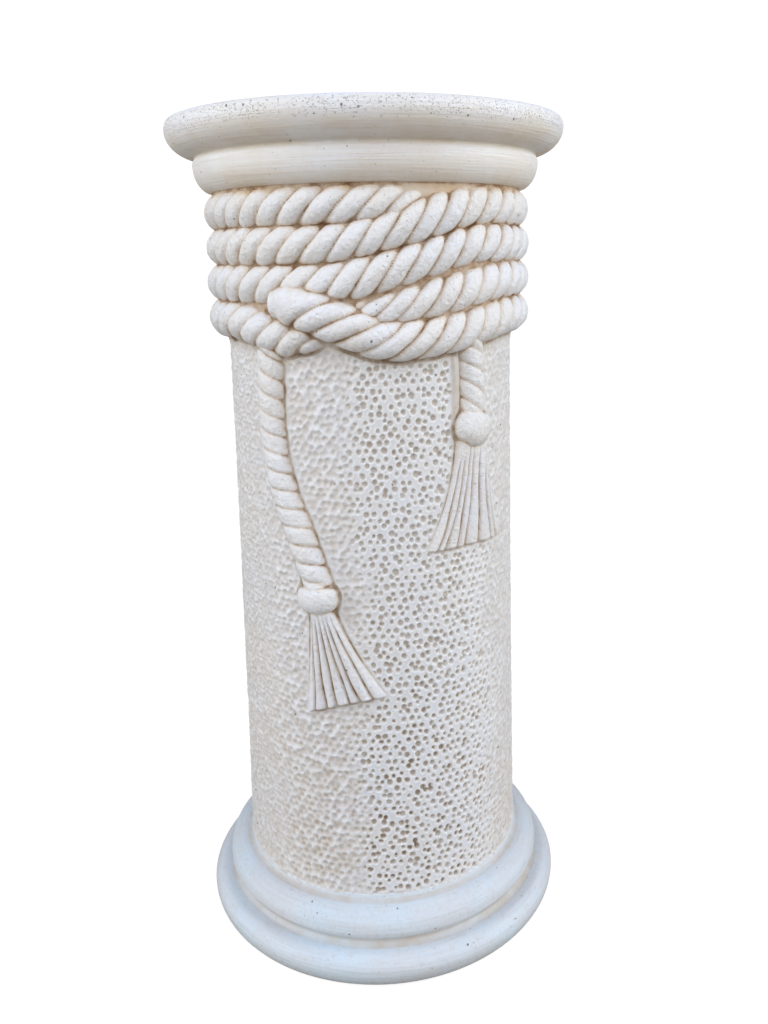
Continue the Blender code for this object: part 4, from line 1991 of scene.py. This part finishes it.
@dataclass
class Studio:
    """A white sweep of floor, soft lights and the camera at the photograph's place.

    Attributes:
        focal_pixels: The camera's focal length in pixels of the picture.
        centre_pixels: Where its axis meets the picture.
        picture: Width and height of the picture.
        place: Where the camera stands.
        pitch: Degrees that it looks down.
        yaw: Degrees that it looks to the right.
        roll: Degrees that it leans.
        ground: Colour of the floor as the column's underside sees it.
        glow: Light that the camera alone sees from the floor.
        half_width: Half width of the floor.
        front: Where the floor begins.
        back: Where it begins to rise.
        bend: Radius of its rise into the wall.
        top: Height of the wall.
    """

    focal_pixels: float = 920.6
    centre_pixels: tuple[float, float] = (421.19, 421.09)
    picture: tuple[int, int] = (768, 1024)
    place: tuple[float, float, float] = (0.0, -0.8717, 0.6348)
    pitch: float = 10.35
    yaw: float = 3.02
    roll: float = -0.99
    ground: tuple[float, float, float] = (0.30, 0.27, 0.23)
    glow: float = 0.88
    half_width: float = 7.0
    front: float = -6.0
    back: float = 2.0
    bend: float = 1.5
    top: float = 6.0

    def camera(self) -> None:
        """Place the camera that the photograph was taken with."""
        pitch, yaw, roll = (math.radians(angle) for angle in (self.pitch, self.yaw, self.roll))
        ahead = math.cos(pitch)
        forward = Vector((math.sin(yaw) * ahead, math.cos(yaw) * ahead, -math.sin(pitch)))
        level = Vector((math.cos(yaw), -math.sin(yaw), 0.0))
        upright = level.cross(forward)
        right = level * math.cos(roll) + upright * math.sin(roll)
        up = upright * math.cos(roll) - level * math.sin(roll)
        lens = bpy.data.cameras.new("camera")
        camera = add_object("camera", lens)
        rows = zip(right, up, -forward, self.place)
        camera.matrix_world = Matrix([*rows, (0.0, 0.0, 0.0, 1.0)])
        wide, tall = self.picture
        lens.sensor_fit = "VERTICAL"
        lens.sensor_height = 36.0
        lens.lens = self.focal_pixels * 36.0 / tall
        lens.shift_x = (wide / 2 - self.centre_pixels[0]) / tall
        lens.shift_y = (self.centre_pixels[1] - tall / 2) / tall
        bpy.context.scene.camera = camera

    def floor(self) -> None:
        """A sweep: level floor that curves up into a wall behind the column."""
        turns = np.radians(np.linspace(0.0, 90.0, 24))
        curve = self.back + self.bend * np.sin(turns)
        run = np.concatenate([[self.front, 0.0], curve, [self.back + self.bend]])
        rise = np.concatenate([[0.0, 0.0], self.bend - self.bend * np.cos(turns), [self.top]])
        x = np.array([-self.half_width, self.half_width])[None, :]
        points = np.stack(np.broadcast_arrays(x, run[:, None], rise[:, None]), axis=-1)
        index = np.arange(points[..., 0].size).reshape(points.shape[:2])
        faces = np.stack([index[:-1, 0], index[:-1, 1], index[1:, 1], index[1:, 0]], axis=-1)
        mesh = bpy.data.meshes.new("studio_sweep")
        mesh.from_pydata(points.reshape(-1, 3).tolist(), [], faces.tolist())
        mesh.polygons.foreach_set("use_smooth", np.ones(len(faces), bool))
        material = bpy.data.materials.new("white_sweep")
        material.use_nodes = True
        shader = material.node_tree.nodes["Principled BSDF"]
        shader.inputs["Base Color"].default_value = (*self.ground, 1.0)
        shader.inputs["Roughness"].default_value = 0.9
        tree = Tree(material.node_tree)
        tree.feed(shader.inputs["Emission Color"], (1.0, 1.0, 1.0, 1.0))
        seen = tree.add("ShaderNodeLightPath").outputs["Is Camera Ray"]
        tree.feed(shader.inputs["Emission Strength"], tree.math("MULTIPLY", seen, self.glow))
        mesh.materials.append(material)
        sweep = add_object("studio_sweep", mesh)

    @staticmethod
    def light(lamp: Lamp) -> None:
        """Hang one square soft light that looks at the column's middle.

        Args:
            lamp: Its name, place, size and power.
        """
        panel = bpy.data.lights.new(lamp.name, "AREA")
        panel.size = lamp.size
        panel.energy = max(lamp.power)
        panel.color = [part / max(lamp.power) for part in lamp.power]
        holder = add_object(lamp.name, panel)
        holder.location = lamp.place
        aim = Vector(COLUMN_MIDDLE) - Vector(lamp.place)
        holder.rotation_mode = "QUATERNION"
        holder.rotation_quaternion = aim.to_track_quat("-Z", "Y")

    @staticmethod
    def air() -> None:
        """An overcast sky: the colour of the horizon goes over into that of the zenith."""
        world = bpy.data.worlds.new("studio_air")
        bpy.context.scene.world = world
        world.use_nodes = True
        tree = Tree(world.node_tree)
        look = tree.add("ShaderNodeTexCoord").outputs["Generated"]
        axes = tree.add("ShaderNodeSeparateXYZ", {"Vector": look})
        colour = tree.mix(tree.rise(axes.outputs["Z"], 0.25, 0.9), (*HORIZON, 1.0), (*ZENITH, 1.0))
        tree.feed(world.node_tree.nodes["Background"].inputs["Color"], colour)

    def build(self) -> None:
        """Set up the floor, the lights and the camera."""
        self.floor()
        for lamp in LAMPS:
            self.light(lamp)
        self.air()
        self.camera()
        bpy.context.scene.view_settings.view_transform = "Standard"


def main() -> None:
    """Build the column's pieces in order, dress them and set up the studio."""
    logging.basicConfig(level=logging.INFO, format="%(message)s")
    effects = Effects()
    capital_paint, base_paint, rope_paint, shaft_paint, bed_paint = (
        finish.material(effects)
        for finish in (CAPITAL_FINISH, BASE_FINISH, ROPE_FINISH, SHAFT_FINISH, BED_FINISH)
    )
    ends = (LEFT_END, RIGHT_END)
    ropes = [*WoundRope().ropes(), *(end.rope() for end in ends)]
    relief = Relief()
    for rope in ropes:
        relief.add(rope.surface()[0])
    for end in ends:
        for points, _ in end.surfaces().values():
            relief.add(points)
    carving = Carving(relief)
    for rope in ropes:
        settle(rope.build(carving), rope_paint)
    for end in ends:
        for piece in end.build(carving):
            settle(piece, rope_paint)
    for band in Shaft().build(carving, ends):
        settle(band, shaft_paint)
    bed = RopeBed("rope_bed", columns=180, rows=0.0028, wobble=0.0004, seed=61)
    base = Base("base", columns=300, rows=0.0013, wobble=0.0004, seed=62)
    # The capital's faces that look down get 0.6 of painted shade
    capital = Capital("capital", columns=300, rows=0.0013, wobble=0.0004, seed=63, under=0.6)
    for body, paint in ((bed, bed_paint), (base, base_paint), (capital, capital_paint)):
        settle(body.build(carving), paint)
    Studio().build()


if __name__ == "__main__":
    main()
